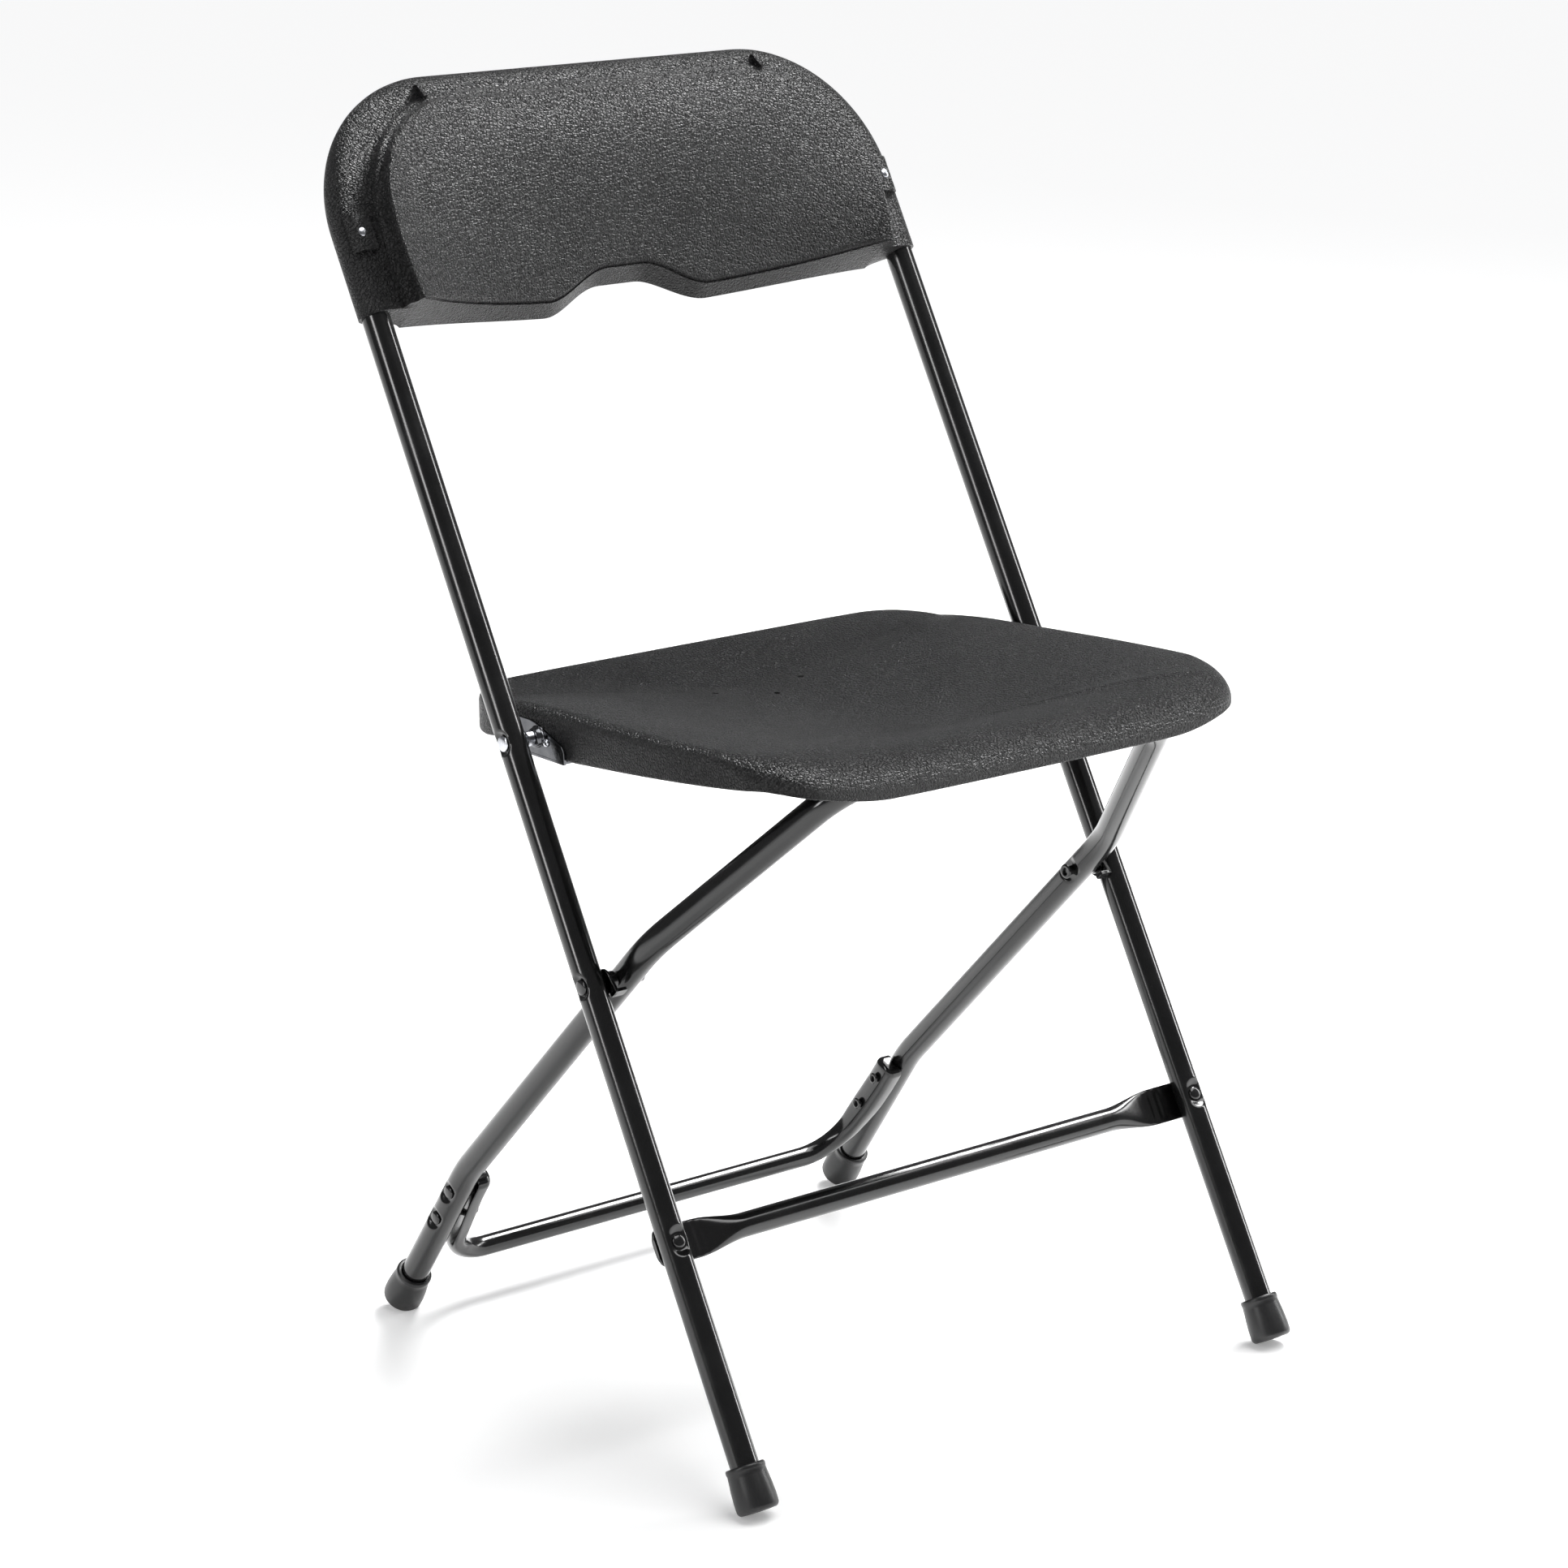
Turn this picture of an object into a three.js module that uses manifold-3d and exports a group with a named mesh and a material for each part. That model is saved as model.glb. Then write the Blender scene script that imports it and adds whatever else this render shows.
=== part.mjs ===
// Folding chair: bent steel-tube X frame with a moulded plastic seat and backrest.
// Units are millimetres, +Z is up, the sitter faces -Y and x = 0 is the plane of symmetry.
// "left" and "right" are the sitter's: left is +X.
import * as THREE from 'three';
import Module from 'manifold-3d';

const wasm = await Module();
wasm.setup();
const { Manifold, Mesh } = wasm;

// ---------------------------------------------------------------- driving dimensions
const TUBE_R = 9; // frame tube, outside radius
const TUBE_WALL = 1.2;
const GAP = 0.3; // clearance between neighbouring pieces

const FRONT_X = 212.5; // half spacing of the front legs at the floor, centre to centre
const FRONT_TAPER = 0.0025; // the legs close in by this much per unit length
const FRONT_FOOT_Y = -230.81; // start of the front tube's axis
const BASE_Z = -3; // its height: the axis starts just under the floor
const FOOT_S = 14; // front tube's lower end, along the leg
const FOOT_D = 11.5; // rear tube's lower end, short of the floor along the leg
const FRONT_LEAN = THREE.MathUtils.degToRad(29.86); // front frame's lean from vertical
const FRONT_TOP = 915.8; // length along the leg to the top bar's axis
const FRONT_CORNER_R = 86.2;

const REAR_X = 185.4; // half spacing of the rear legs at the crossing
const REAR_FOOT_X = 187.3;
const REAR_ANGLE = THREE.MathUtils.degToRad(44.6); // upper rear leg's lean from vertical
const REAR_FOOT_ANGLE = THREE.MathUtils.degToRad(34.96); // lower rear leg's lean from vertical
const REAR_BEND = 243; // crossing to the lower bend, along the leg
const REAR_TOE_IN = 37; // crossing to the start of the inward taper
const REAR_TAPER = 0.371; // inward taper per unit length
const CROSSBAR_REACH = 200.9; // crossing to the crossbar, in the leg's plane

const CROSS_S = 338.2; // leg crossing pivot, along the front leg
const SEAT_S = 494.5; // seat pivot, along the front leg
const STRETCHER_S = 175.5; // front stretcher, along the front leg
const STRETCHER_N = -12.9; // front stretcher's axis behind the front legs

const BACK_BOTTOM = 768.6; // backrest, along the front leg
const BACK_TOP = 927.1;
const BACK_HALF = 221.5;
const BACK_CORNER_R = 97.5;
const BACK_WALL = 1.7;
const BACK_RIM = 11.3; // half depth of the rim that wraps the tube
const SCREW_X = 209.8;
const SCREW_S = 824.6;

const SEAT_WALL = 3.4;
const SEAT_RIM_Y = FRONT_FOOT_Y + 215.8; // offset of the seat's outline table from the origin

const FRAME_BLACK = { color: 0x141416, roughness: 0.28, metalness: 0.1 };
const RIVET_BLACK = { color: 0x1a1a1c, roughness: 0.35, metalness: 0.3 };
const ZINC = { color: 0xc9ccd2, roughness: 0.25, metalness: 1.0 };
const SEAT_BLACK = { color: 0x232326, roughness: 0.55, metalness: 0.0 };
const FOOT_BLACK = { color: 0x1b1b1c, roughness: 0.75, metalness: 0.0 };

// ---------------------------------------------------------------- frames of reference
const V = (x, y, z) => new THREE.Vector3(x, y, z);
const UP_FRONT = V(0, Math.sin(FRONT_LEAN), Math.cos(FRONT_LEAN));
const OUT_FRONT = V(0, -Math.cos(FRONT_LEAN), Math.sin(FRONT_LEAN));
const UP_REAR = V(0, -Math.sin(REAR_ANGLE), Math.cos(REAR_ANGLE));
const BEHIND_REAR = V(0, Math.cos(REAR_ANGLE), Math.sin(REAR_ANGLE));
const DOWN_FOOT = V(0, Math.sin(REAR_FOOT_ANGLE), -Math.cos(REAR_FOOT_ANGLE));

// A point of the front frame: across, along the leg, and forward of its plane.
const onFront = (x, s, n) =>
  V(x, FRONT_FOOT_Y, BASE_Z).addScaledVector(UP_FRONT, s).addScaledVector(OUT_FRONT, n);
const frontX = (s) => FRONT_X - FRONT_TAPER * s;
const CROSS = onFront(0, CROSS_S, 0);
const SEAT_PIVOT = onFront(0, SEAT_S, 0);

// A point of the rear frame's upper plane: across, and up the leg from the crossing.
const onRear = (x, r, off = 0) =>
  V(x, CROSS.y, CROSS.z).addScaledVector(UP_REAR, r).addScaledVector(BEHIND_REAR, off);
const REAR_KNEE = onRear(0, -REAR_BEND);
const REAR_FOOT_LENGTH = REAR_KNEE.z / Math.cos(REAR_FOOT_ANGLE);
const onFoot = (x, d) => V(x, REAR_KNEE.y, REAR_KNEE.z).addScaledVector(DOWN_FOOT, d);

// ---------------------------------------------------------------- solid helpers
// Closed solid through point loops of equal length: fans close the ends unless they meet in a seam.
function loft(loops, seamed = false) {
  const n = loops[0].length;
  const points = loops.flat();
  const tris = [];
  for (let k = 0; k + 1 < loops.length; k += 1) {
    for (let i = 0; i < n; i += 1) {
      const j = (i + 1) % n;
      const a = k * n + i;
      const b = k * n + j;
      tris.push([a, b, b + n], [a, b + n, a + n]);
    }
  }
  if (!seamed) {
    const last = (loops.length - 1) * n;
    const first = points.push(centre(loops[0])) - 1;
    const final = points.push(centre(loops.at(-1))) - 1;
    for (let i = 0; i < n; i += 1) {
      const j = (i + 1) % n;
      tris.push([first, j, i], [final, last + i, last + j]);
    }
  }
  return solid(points, tris);
}

function centre(loop) {
  return loop.reduce((sum, p) => sum.add(p), V(0, 0, 0)).divideScalar(loop.length);
}

// Manifold from points and triangles; coincident points are welded, inside-out skins are turned.
function solid(points, tris) {
  const index = new Map();
  const verts = [];
  const weld = points.map((p) => {
    const key = [p.x, p.y, p.z].map((c) => Math.round(c * 2e3)).join();
    if (!index.has(key)) {
      index.set(key, verts.length / 3);
      verts.push(p.x, p.y, p.z);
    }
    return index.get(key);
  });
  const faces = tris
    .map((t) => t.map((i) => weld[i]))
    .filter(([a, b, c]) => a !== b && b !== c && c !== a);
  const build = (list) =>
    new Manifold(
      new Mesh({
        numProp: 3,
        vertProperties: new Float32Array(verts),
        triVerts: new Uint32Array(list.flat()),
      }),
    );
  const body = build(faces);
  return body.volume() > 0 ? body : build(faces.map(([a, b, c]) => [a, c, b]));
}

// Polyline with its corners rounded; returns points with unit tangents.
function bentPath(points, radii, arcSteps) {
  const path = [];
  points.forEach((p, i) => {
    if (i === 0 || i === points.length - 1) {
      const other = points[i === 0 ? 1 : i - 1];
      const tangent = p.clone().sub(other).normalize();
      path.push({ p: p.clone(), t: i === 0 ? tangent.negate() : tangent });
      return;
    }
    const into = p.clone().sub(points[i - 1]).normalize();
    const out = points[i + 1].clone().sub(p).normalize();
    const turn = into.angleTo(out);
    const reach = radii[i] * Math.tan(turn / 2);
    const side = out.clone().addScaledVector(into, -Math.cos(turn)).normalize();
    const start = p.clone().addScaledVector(into, -reach);
    for (let k = 0; k <= arcSteps[i]; k += 1) {
      const a = (turn * k) / arcSteps[i];
      path.push({
        p: start
          .clone()
          .addScaledVector(into, radii[i] * Math.sin(a))
          .addScaledVector(side, radii[i] * (1 - Math.cos(a))),
        t: into.clone().multiplyScalar(Math.cos(a)).addScaledVector(side, Math.sin(a)),
      });
    }
  });
  return path;
}

// Loops along a path; outline(k, angle) gives the section's two coordinates at station k.
function sweepLoops(path, up, sides, outline) {
  let u = up.clone();
  return path.map(({ p, t }, k) => {
    u = u.clone().addScaledVector(t, -u.dot(t)).normalize();
    const v = t.clone().cross(u);
    return Array.from({ length: sides }, (_, i) => {
      const [a, b] = outline(k, (2 * Math.PI * i) / sides);
      return p.clone().addScaledVector(u, a).addScaledVector(v, b);
    });
  });
}

const round = (r) => (k, angle) => [r * Math.cos(angle), r * Math.sin(angle)];

// Open-ended steel tube along a path: an outer skin and an inner skin joined at both ends.
function tube(path, up, r, wall) {
  const longer = [...path];
  for (const [end, sign] of [
    [0, -1],
    [path.length - 1, 1],
  ]) {
    const { p, t } = path[end];
    const beyond = { p: p.clone().addScaledVector(t, sign * 3), t };
    if (end === 0) longer.unshift(beyond);
    else longer.push(beyond);
  }
  const outer = loft(sweepLoops(path, up, 16, round(r)));
  const inner = loft(sweepLoops(longer, up, 12, round(r - wall)));
  return outer.subtract(inner);
}

// Turned piece on the axis from a point along a direction; profile is [[distance, radius], ...].
function turned(origin, axis, profile, sides = 12) {
  const path = profile.map(([d]) => ({ p: origin.clone().addScaledVector(axis, d), t: axis }));
  const up = Math.abs(axis.x) > 0.5 ? V(0, 0, 1) : V(1, 0, 0);
  return loft(
    sweepLoops(path, up, sides, (k, angle) => [
      profile[k][1] * Math.cos(angle),
      profile[k][1] * Math.sin(angle),
    ]),
  );
}

// Box spanned by three edge vectors from one corner.
function slab(corner, a, b, c) {
  const quad = (o) => [o, o.clone().add(a), o.clone().add(a).add(b), o.clone().add(b)];
  return loft([quad(corner), quad(corner.clone().add(c))]);
}

// Formed recess for a rivet head: a cup pressed into a tube's wall, with a hole through it.
function pressedCup(body, at, outward, holeR) {
  const cup = turned(at.clone().addScaledVector(outward, 5.2), outward, [
    [0, 6.6],
    [3.1, 6.6],
  ]);
  const skin = turned(at.clone().addScaledVector(outward, 6.4), outward, [
    [0, 5.6],
    [6, 5.9],
  ]);
  const hole = turned(at.clone().addScaledVector(outward, -12), outward, [
    [0, holeR],
    [24, holeR],
  ]);
  return body.add(cup).subtract(skin).subtract(hole);
}

// Domed rivet: head in its recess, shank, and a set tail at the far side.
function rivet(at, outward, { seat, grip, headR, shankR, tailR }) {
  const tailStart = seat - grip;
  return turned(at, outward, [
    [tailStart - 1.6, tailR * 0.7],
    [tailStart - 0.8, tailR],
    [tailStart, tailR],
    [tailStart, shankR],
    [seat, shankR],
    [seat, headR],
    [seat + 0.9, headR],
    [seat + 1.8, headR * 0.6],
  ]);
}

const nodes = [];

function add(name, body, look) {
  const mesh = body.getMesh();
  const geometry = new THREE.BufferGeometry();
  const position = new Float32Array(mesh.numVert * 3);
  for (let i = 0; i < mesh.numVert; i += 1) {
    for (let c = 0; c < 3; c += 1) {
      position[3 * i + c] = mesh.vertProperties[i * mesh.numProp + c];
    }
  }
  geometry.setAttribute('position', new THREE.BufferAttribute(position, 3));
  geometry.setIndex(new THREE.BufferAttribute(new Uint32Array(mesh.triVerts), 1));
  geometry.computeVertexNormals();
  const node = new THREE.Mesh(geometry, new THREE.MeshStandardMaterial(look));
  node.name = name;
  nodes.push(node);
}

const SIDES = [
  ['left', 1],
  ['right', -1],
];
const X = (side) => V(side, 0, 0);

// ---------------------------------------------------------------- front frame
const frontPath = bentPath(
  [
    onFront(-frontX(FOOT_S), FOOT_S, 0),
    onFront(-frontX(FRONT_TOP), FRONT_TOP, 0),
    onFront(frontX(FRONT_TOP), FRONT_TOP, 0),
    onFront(frontX(FOOT_S), FOOT_S, 0),
  ],
  [0, FRONT_CORNER_R, FRONT_CORNER_R, 0],
  [0, 7, 7, 0],
);
let frontTube = tube(frontPath, OUT_FRONT, TUBE_R, TUBE_WALL);
for (const [, side] of SIDES) {
  frontTube = pressedCup(frontTube, onFront(side * frontX(CROSS_S), CROSS_S, 0), X(side), 3.3);
  frontTube = pressedCup(frontTube, onFront(side * frontX(SEAT_S), SEAT_S, 0), X(side), 3.3);
  frontTube = pressedCup(frontTube, onFront(side * frontX(STRETCHER_S), STRETCHER_S, 0), OUT_FRONT, 2.8);
  frontTube = frontTube.subtract(
    turned(onFront(side * SCREW_X, SCREW_S, -2), OUT_FRONT, [
      [0, 2.4],
      [20, 2.4],
    ]),
  );
}
add('front_frame_tube', frontTube, FRAME_BLACK);

// Section of a tube squashed flat by an amount from 0 (round) to 1 (flat).
function squashed(r, flatHalfWidth, flatHalfThick, amount, angle) {
  const lerp = THREE.MathUtils.lerp;
  const power = lerp(1, 0.55, amount);
  const shape = (c) => Math.sign(c) * Math.abs(c) ** power;
  return [
    lerp(r, flatHalfWidth, amount) * shape(Math.cos(angle)),
    lerp(r, flatHalfThick, amount) * shape(Math.sin(angle)),
  ];
}

// Front stretcher: a round tube whose ends are pressed flat against the back of the legs.
const STRETCHER_R = 7.75;
const stretcherStations = [
  [-218.2, 1, 0.5],
  [-217.2, 1, 0.8],
  [-214.5, 1, 1],
  [-190, 1, 1],
  [-183, 0.82, 1],
  [-174, 0.5, 1],
  [-162, 0.18, 1],
  [-148, 0, 1],
];
const stretcherSpan = [
  ...stretcherStations,
  ...stretcherStations.map(([x, f, w]) => [-x, f, w]).reverse(),
];
function stretcherSkin(inset, extra) {
  const last = stretcherSpan.length - 1;
  const path = stretcherSpan.map(([x, flat], k) => ({
    p: onFront(
      x + (k === 0 ? -extra : 0) + (k === last ? extra : 0),
      STRETCHER_S,
      STRETCHER_N + 2.15 * flat,
    ),
    t: V(1, 0, 0),
  }));
  return loft(
    sweepLoops(path, UP_FRONT, 14, (k, angle) => {
      const [, flat, width] = stretcherSpan[k];
      const [a, b] = squashed(STRETCHER_R - inset, 12 - inset, 1.45 - inset, flat, angle);
      return [a * width, b];
    }),
  );
}
let frontStretcher = stretcherSkin(0, 0).subtract(stretcherSkin(1.15, 2));
for (const [, side] of SIDES) {
  frontStretcher = frontStretcher.subtract(
    turned(onFront(side * frontX(STRETCHER_S), STRETCHER_S, -20), OUT_FRONT, [
      [0, 2.8],
      [20, 2.8],
    ]),
  );
}
add('front_stretcher', frontStretcher, FRAME_BLACK);

for (const [word, side] of SIDES) {
  add(
    `front_stretcher_rivet_${word}`,
    rivet(onFront(side * frontX(STRETCHER_S), STRETCHER_S, 0), OUT_FRONT, {
      seat: 6.6,
      grip: 19.2,
      headR: 4.4,
      shankR: 2.5,
      tailR: 4,
    }),
    RIVET_BLACK,
  );
}

// Push-on foot: tapered sleeve with a rounded sole, worn flat where it meets the floor.
function foot(end, up, neckR, soleR, length) {
  const body = turned(end, up, [
    [-4.7, soleR - 4.5],
    [-4.4, soleR - 2],
    [-2.7, soleR - 0.4],
    [2, soleR],
    [length * 0.7, (soleR + neckR) / 2],
    [length - 1.2, neckR],
    [length, neckR - 0.8],
  ], 18);
  const bore = (TUBE_R + GAP) / Math.cos(Math.PI / 12);
  const socket = turned(end, up, [
    [0, bore],
    [length + 3, bore],
  ]);
  const floor = slab(V(end.x - 40, end.y - 40, -40), V(80, 0, 0), V(0, 80, 0), V(0, 0, 40));
  return body.subtract(socket).subtract(floor);
}
const REAR_END = REAR_FOOT_LENGTH - FOOT_D;
for (const [word, side] of SIDES) {
  const frontEnd = onFront(side * frontX(FOOT_S), FOOT_S - GAP, 0);
  add(`front_foot_${word}`, foot(frontEnd, UP_FRONT, 12, 13.4, 24), FOOT_BLACK);
  const rearEnd = onFoot(side * REAR_FOOT_X, REAR_END + GAP);
  const up = DOWN_FOOT.clone().negate();
  add(`rear_foot_${word}`, foot(rearEnd, up, 11.6, 13.2, 24), FOOT_BLACK);
}

// ---------------------------------------------------------------- rear frame
const taperX = (r) => REAR_X - REAR_TAPER * (r - REAR_TOE_IN);
const rearCorners = (side) => [
  onFoot(side * REAR_FOOT_X, REAR_END),
  onRear(side * (REAR_X + 0.6), -REAR_BEND),
  onRear(side * REAR_X, REAR_TOE_IN),
  onRear(side * taperX(CROSSBAR_REACH), CROSSBAR_REACH),
];
const rearPath = bentPath(
  [...rearCorners(-1), ...rearCorners(1).reverse()],
  [0, 110, 90, 44, 44, 90, 110, 0],
  [0, 3, 3, 5, 5, 3, 3, 0],
);
let rearTube = tube(rearPath, BEHIND_REAR, TUBE_R, TUBE_WALL);
const REAR_RIVETS = [
  ['upper', 21, 27.6],
  ['lower', 48, 29.6],
];
for (const [, side] of SIDES) {
  rearTube = rearTube.subtract(
    turned(onRear(side * (REAR_X - 20), 0), X(side), [
      [0, 3.3],
      [40, 3.3],
    ]),
  );
  for (const [, d] of REAR_RIVETS) {
    rearTube = pressedCup(rearTube, onFoot(side * (REAR_X + 1), d), X(side), 2.6);
  }
}
add('rear_frame_tube', rearTube, FRAME_BLACK);

// Rear stretcher: a U of thinner tube; its flattened ends lie along the legs' inner faces.
const REAR_STRETCHER_R = 6.9;
const ENDS_X = REAR_X + 0.4 - TUBE_R - GAP - 5.2;
const RUN_D = 99.5;
const uPath = bentPath(
  [
    onFoot(-ENDS_X, 7.5),
    onFoot(-ENDS_X, 26),
    onFoot(-ENDS_X + 2.6, 60),
    onFoot(-ENDS_X + 6, RUN_D),
    onFoot(ENDS_X - 6, RUN_D),
    onFoot(ENDS_X - 2.6, 60),
    onFoot(ENDS_X, 26),
    onFoot(ENDS_X, 7.5),
  ],
  [0, 60, 60, 33, 33, 60, 60, 0],
  [0, 1, 1, 6, 6, 1, 1, 0],
);
const flatAt = (k) => {
  const along = Math.min(k, uPath.length - 1 - k);
  return [1, 1, 0.9, 0.6, 0.45, 0.3, 0.18, 0.08][along] ?? 0;
};
function uSkin(inset, extra) {
  const path = uPath.map(({ p, t }, k) => {
    const end = k === 0 ? -extra : k === uPath.length - 1 ? extra : 0;
    return { p: p.clone().addScaledVector(t, end), t };
  });
  const across = DOWN_FOOT.clone().cross(V(1, 0, 0));
  return loft(
    sweepLoops(path, across, 14, (k, angle) =>
      squashed(REAR_STRETCHER_R - inset, 9.4 - inset, 5 - inset, flatAt(k), angle),
    ),
  );
}
let rearStretcher = uSkin(0, 0).subtract(uSkin(1.15, 2));
for (const [, side] of SIDES) {
  for (const [, d] of REAR_RIVETS) {
    rearStretcher = rearStretcher.subtract(
      turned(onFoot(side * (ENDS_X - 12), d), X(side), [
        [0, 2.6],
        [24, 2.6],
      ]),
    );
  }
}
add('rear_stretcher', rearStretcher, FRAME_BLACK);

for (const [word, side] of SIDES) {
  for (const [level, d, grip] of REAR_RIVETS) {
    add(
      `rear_stretcher_rivet_${word}_${level}`,
      rivet(onFoot(side * (REAR_X + 1), d), X(side), {
        seat: 6.6,
        grip,
        headR: 4.4,
        shankR: 2.3,
        tailR: 3.9,
      }),
      RIVET_BLACK,
    );
  }
}

// ---------------------------------------------------------------- leg crossing
for (const [word, side] of SIDES) {
  const inward = X(-side);
  const gapOuter = V(side * (frontX(CROSS_S) - TUBE_R - GAP), CROSS.y, CROSS.z);
  const washer = turned(gapOuter, inward, [
    [0, 8.2],
    [2.2, 8.2],
    [2.2, 6],
    [7.6, 6],
  ]);
  const under = BEHIND_REAR.clone().multiplyScalar(-1);
  const tabCorner = gapOuter
    .clone()
    .addScaledVector(UP_REAR, 1)
    .addScaledVector(under, TUBE_R + GAP);
  const tab = slab(
    tabCorner,
    UP_REAR.clone().multiplyScalar(7),
    under.clone().multiplyScalar(2.2),
    inward.clone().multiplyScalar(9),
  );
  const web = slab(
    gapOuter.clone().addScaledVector(UP_REAR, 1),
    UP_REAR.clone().multiplyScalar(7),
    under.clone().multiplyScalar(TUBE_R + GAP + 2.2),
    inward.clone().multiplyScalar(2.2),
  );
  const hole = turned(gapOuter.clone().addScaledVector(inward, -2), inward, [
    [0, 3.3],
    [14, 3.3],
  ]);
  add(`leg_stop_${word}`, washer.add(web).add(tab).subtract(hole), FRAME_BLACK);
  add(
    `leg_pivot_rivet_${word}`,
    rivet(V(side * frontX(CROSS_S), CROSS.y, CROSS.z), X(side), {
      seat: 6.6,
      grip: 43,
      headR: 4.9,
      shankR: 3,
      tailR: 4.8,
    }),
    RIVET_BLACK,
  );
}

// ---------------------------------------------------------------- seat
// Right half of the outline seen from above: across and front-to-back, front first.
const SEAT_OUTLINE = [
  [0, -214],
  [60, -213.6],
  [105, -212],
  [146, -208.5],
  [168, -201],
  [182, -188],
  [189.5, -172],
  [193, -150],
  [194.6, -125],
  [195, -98],
  [194, -60],
  [191.4, -20],
  [189.2, 20],
  [188.2, 55],
  [186.8, 84],
  [181.6, 106],
  [169, 123.4],
  [151, 131.8],
  [125, 133.8],
  [60, 134.4],
  [0, 134.5],
];
const SEAT_POINTS = 56;
const seatCurve = new THREE.CatmullRomCurve3(
  [
    ...SEAT_OUTLINE,
    ...SEAT_OUTLINE.slice(1, -1)
      .reverse()
      .map(([x, y]) => [-x, y]),
  ].map(([x, y]) => V(x, y, 0)),
  true,
  'centripetal',
);
const seatLoop = seatCurve.getSpacedPoints(SEAT_POINTS).slice(0, SEAT_POINTS);
const smooth = THREE.MathUtils.smoothstep;
const lerp = THREE.MathUtils.lerp;

// Height of the seat's crest along its outline.
function crestHeight(x, y) {
  const side = Math.min(455.7, 448.3 - 0.052 * y);
  const rear = side - 0.0008 * Math.max(0, y - 20) ** 2;
  const front = (449.6 - side) * (1 - Math.min(1, Math.abs(x) / 178) ** 3);
  return Math.max(439.8, rear) + front * smooth(-y, 120, 196);
}

// Height of the apron's lower edge along the outline.
function apronHeight(x, y) {
  const side = 418.8 + 0.111 * Math.max(0, -y - 4);
  const rear = lerp(side, 415.5, smooth(y, 72, 100));
  return rear - 13.7 * smooth(-y, 178, 206) * (1 - 0.75 * smooth(Math.abs(x), 110, 195));
}

// Lowest line of the dished top, along the middle of the seat.
const dishHeight = (y) => 424.6 + 0.0000095 * Math.abs(y - 46) ** 2.72;

// How far in from the outline the crest lies; the front edge rolls over more gently.
const crestInset = (y) => lerp(7, 26, smooth(-y, 140, 205));

function seatRing(inset, height) {
  return seatLoop.map((p, i) => {
    const ahead = seatLoop[(i + 1) % SEAT_POINTS];
    const behind = seatLoop[(i + SEAT_POINTS - 1) % SEAT_POINTS];
    const inward = V(behind.y - ahead.y, ahead.x - behind.x, 0).normalize();
    const q = p.clone().addScaledVector(inward, inset(p));
    q.z = height(p);
    return q;
  });
}

const SPINE_FRONT = -98;
const SPINE_REAR = 62;
function dishRing(t, drop) {
  return seatRing((p) => crestInset(p.y) + drop, () => 0).map((q, i) => {
    const p = seatLoop[i];
    const spine = THREE.MathUtils.clamp(p.y, SPINE_FRONT, SPINE_REAR);
    const low = dishHeight(spine);
    const ease = smooth(t, 0, 1);
    return V(
      lerp(q.x, 0, t),
      lerp(q.y, spine, t),
      lerp(crestHeight(p.x, p.y), low, ease) - drop,
    );
  });
}

const roll = (deg, p, drop) => {
  const a = THREE.MathUtils.degToRad(deg);
  const wide = crestInset(p.y);
  const tall = lerp(7, 15, smooth(-p.y, 140, 205));
  return [
    lerp(wide * (1 - Math.sin(a)), wide * (1 - Math.sin(a)) + drop, 1),
    crestHeight(p.x, p.y) - tall * (1 - Math.cos(a)) - drop * Math.cos(a),
  ];
};
const DISH = [1, 0.78, 0.56, 0.36, 0.18, 0];
const seatLoops = [
  ...DISH.map((t) => dishRing(t, 0)),
  ...[30, 60, 90].map((deg) =>
    seatRing((p) => roll(deg, p, 0)[0], (p) => roll(deg, p, 0)[1])),
  seatRing(() => 0, (p) => apronHeight(p.x, p.y) + 1),
  seatRing(() => 1, (p) => apronHeight(p.x, p.y)),
  seatRing(() => SEAT_WALL - 0.4, (p) => apronHeight(p.x, p.y)),
  ...[90, 45].map((deg) =>
    seatRing((p) => roll(deg, p, SEAT_WALL)[0], (p) => roll(deg, p, SEAT_WALL)[1])),
  ...[...DISH].reverse().map((t) => dishRing(t, SEAT_WALL)),
].map((loop) => loop.map((p) => p.clone().add(V(0, SEAT_RIM_Y, BASE_Z))));
let seatShell = loft(seatLoops, true);

const SEAT_RIVET = V(0, SEAT_PIVOT.y - 9.5, SEAT_PIVOT.z - 1.6);
const DRAIN_HOLES = [
  [-35, 41],
  [0, 22],
  [35, 41],
];
for (const [x, y] of DRAIN_HOLES) {
  seatShell = seatShell.subtract(
    turned(V(x, y, 400), V(0, 0, 1), [
      [0, 2.3],
      [60, 2.3],
    ], 16),
  );
}
for (const [, side] of SIDES) {
  for (const [hub, r] of [
    [SEAT_PIVOT, 3.4],
    [SEAT_RIVET, 1.8],
  ]) {
    seatShell = seatShell.subtract(
      turned(V(side * 170, hub.y, hub.z), X(side), [
        [0, r],
        [35, r],
      ]),
    );
  }
}
add('seat_shell', seatShell, SEAT_BLACK);

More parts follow.
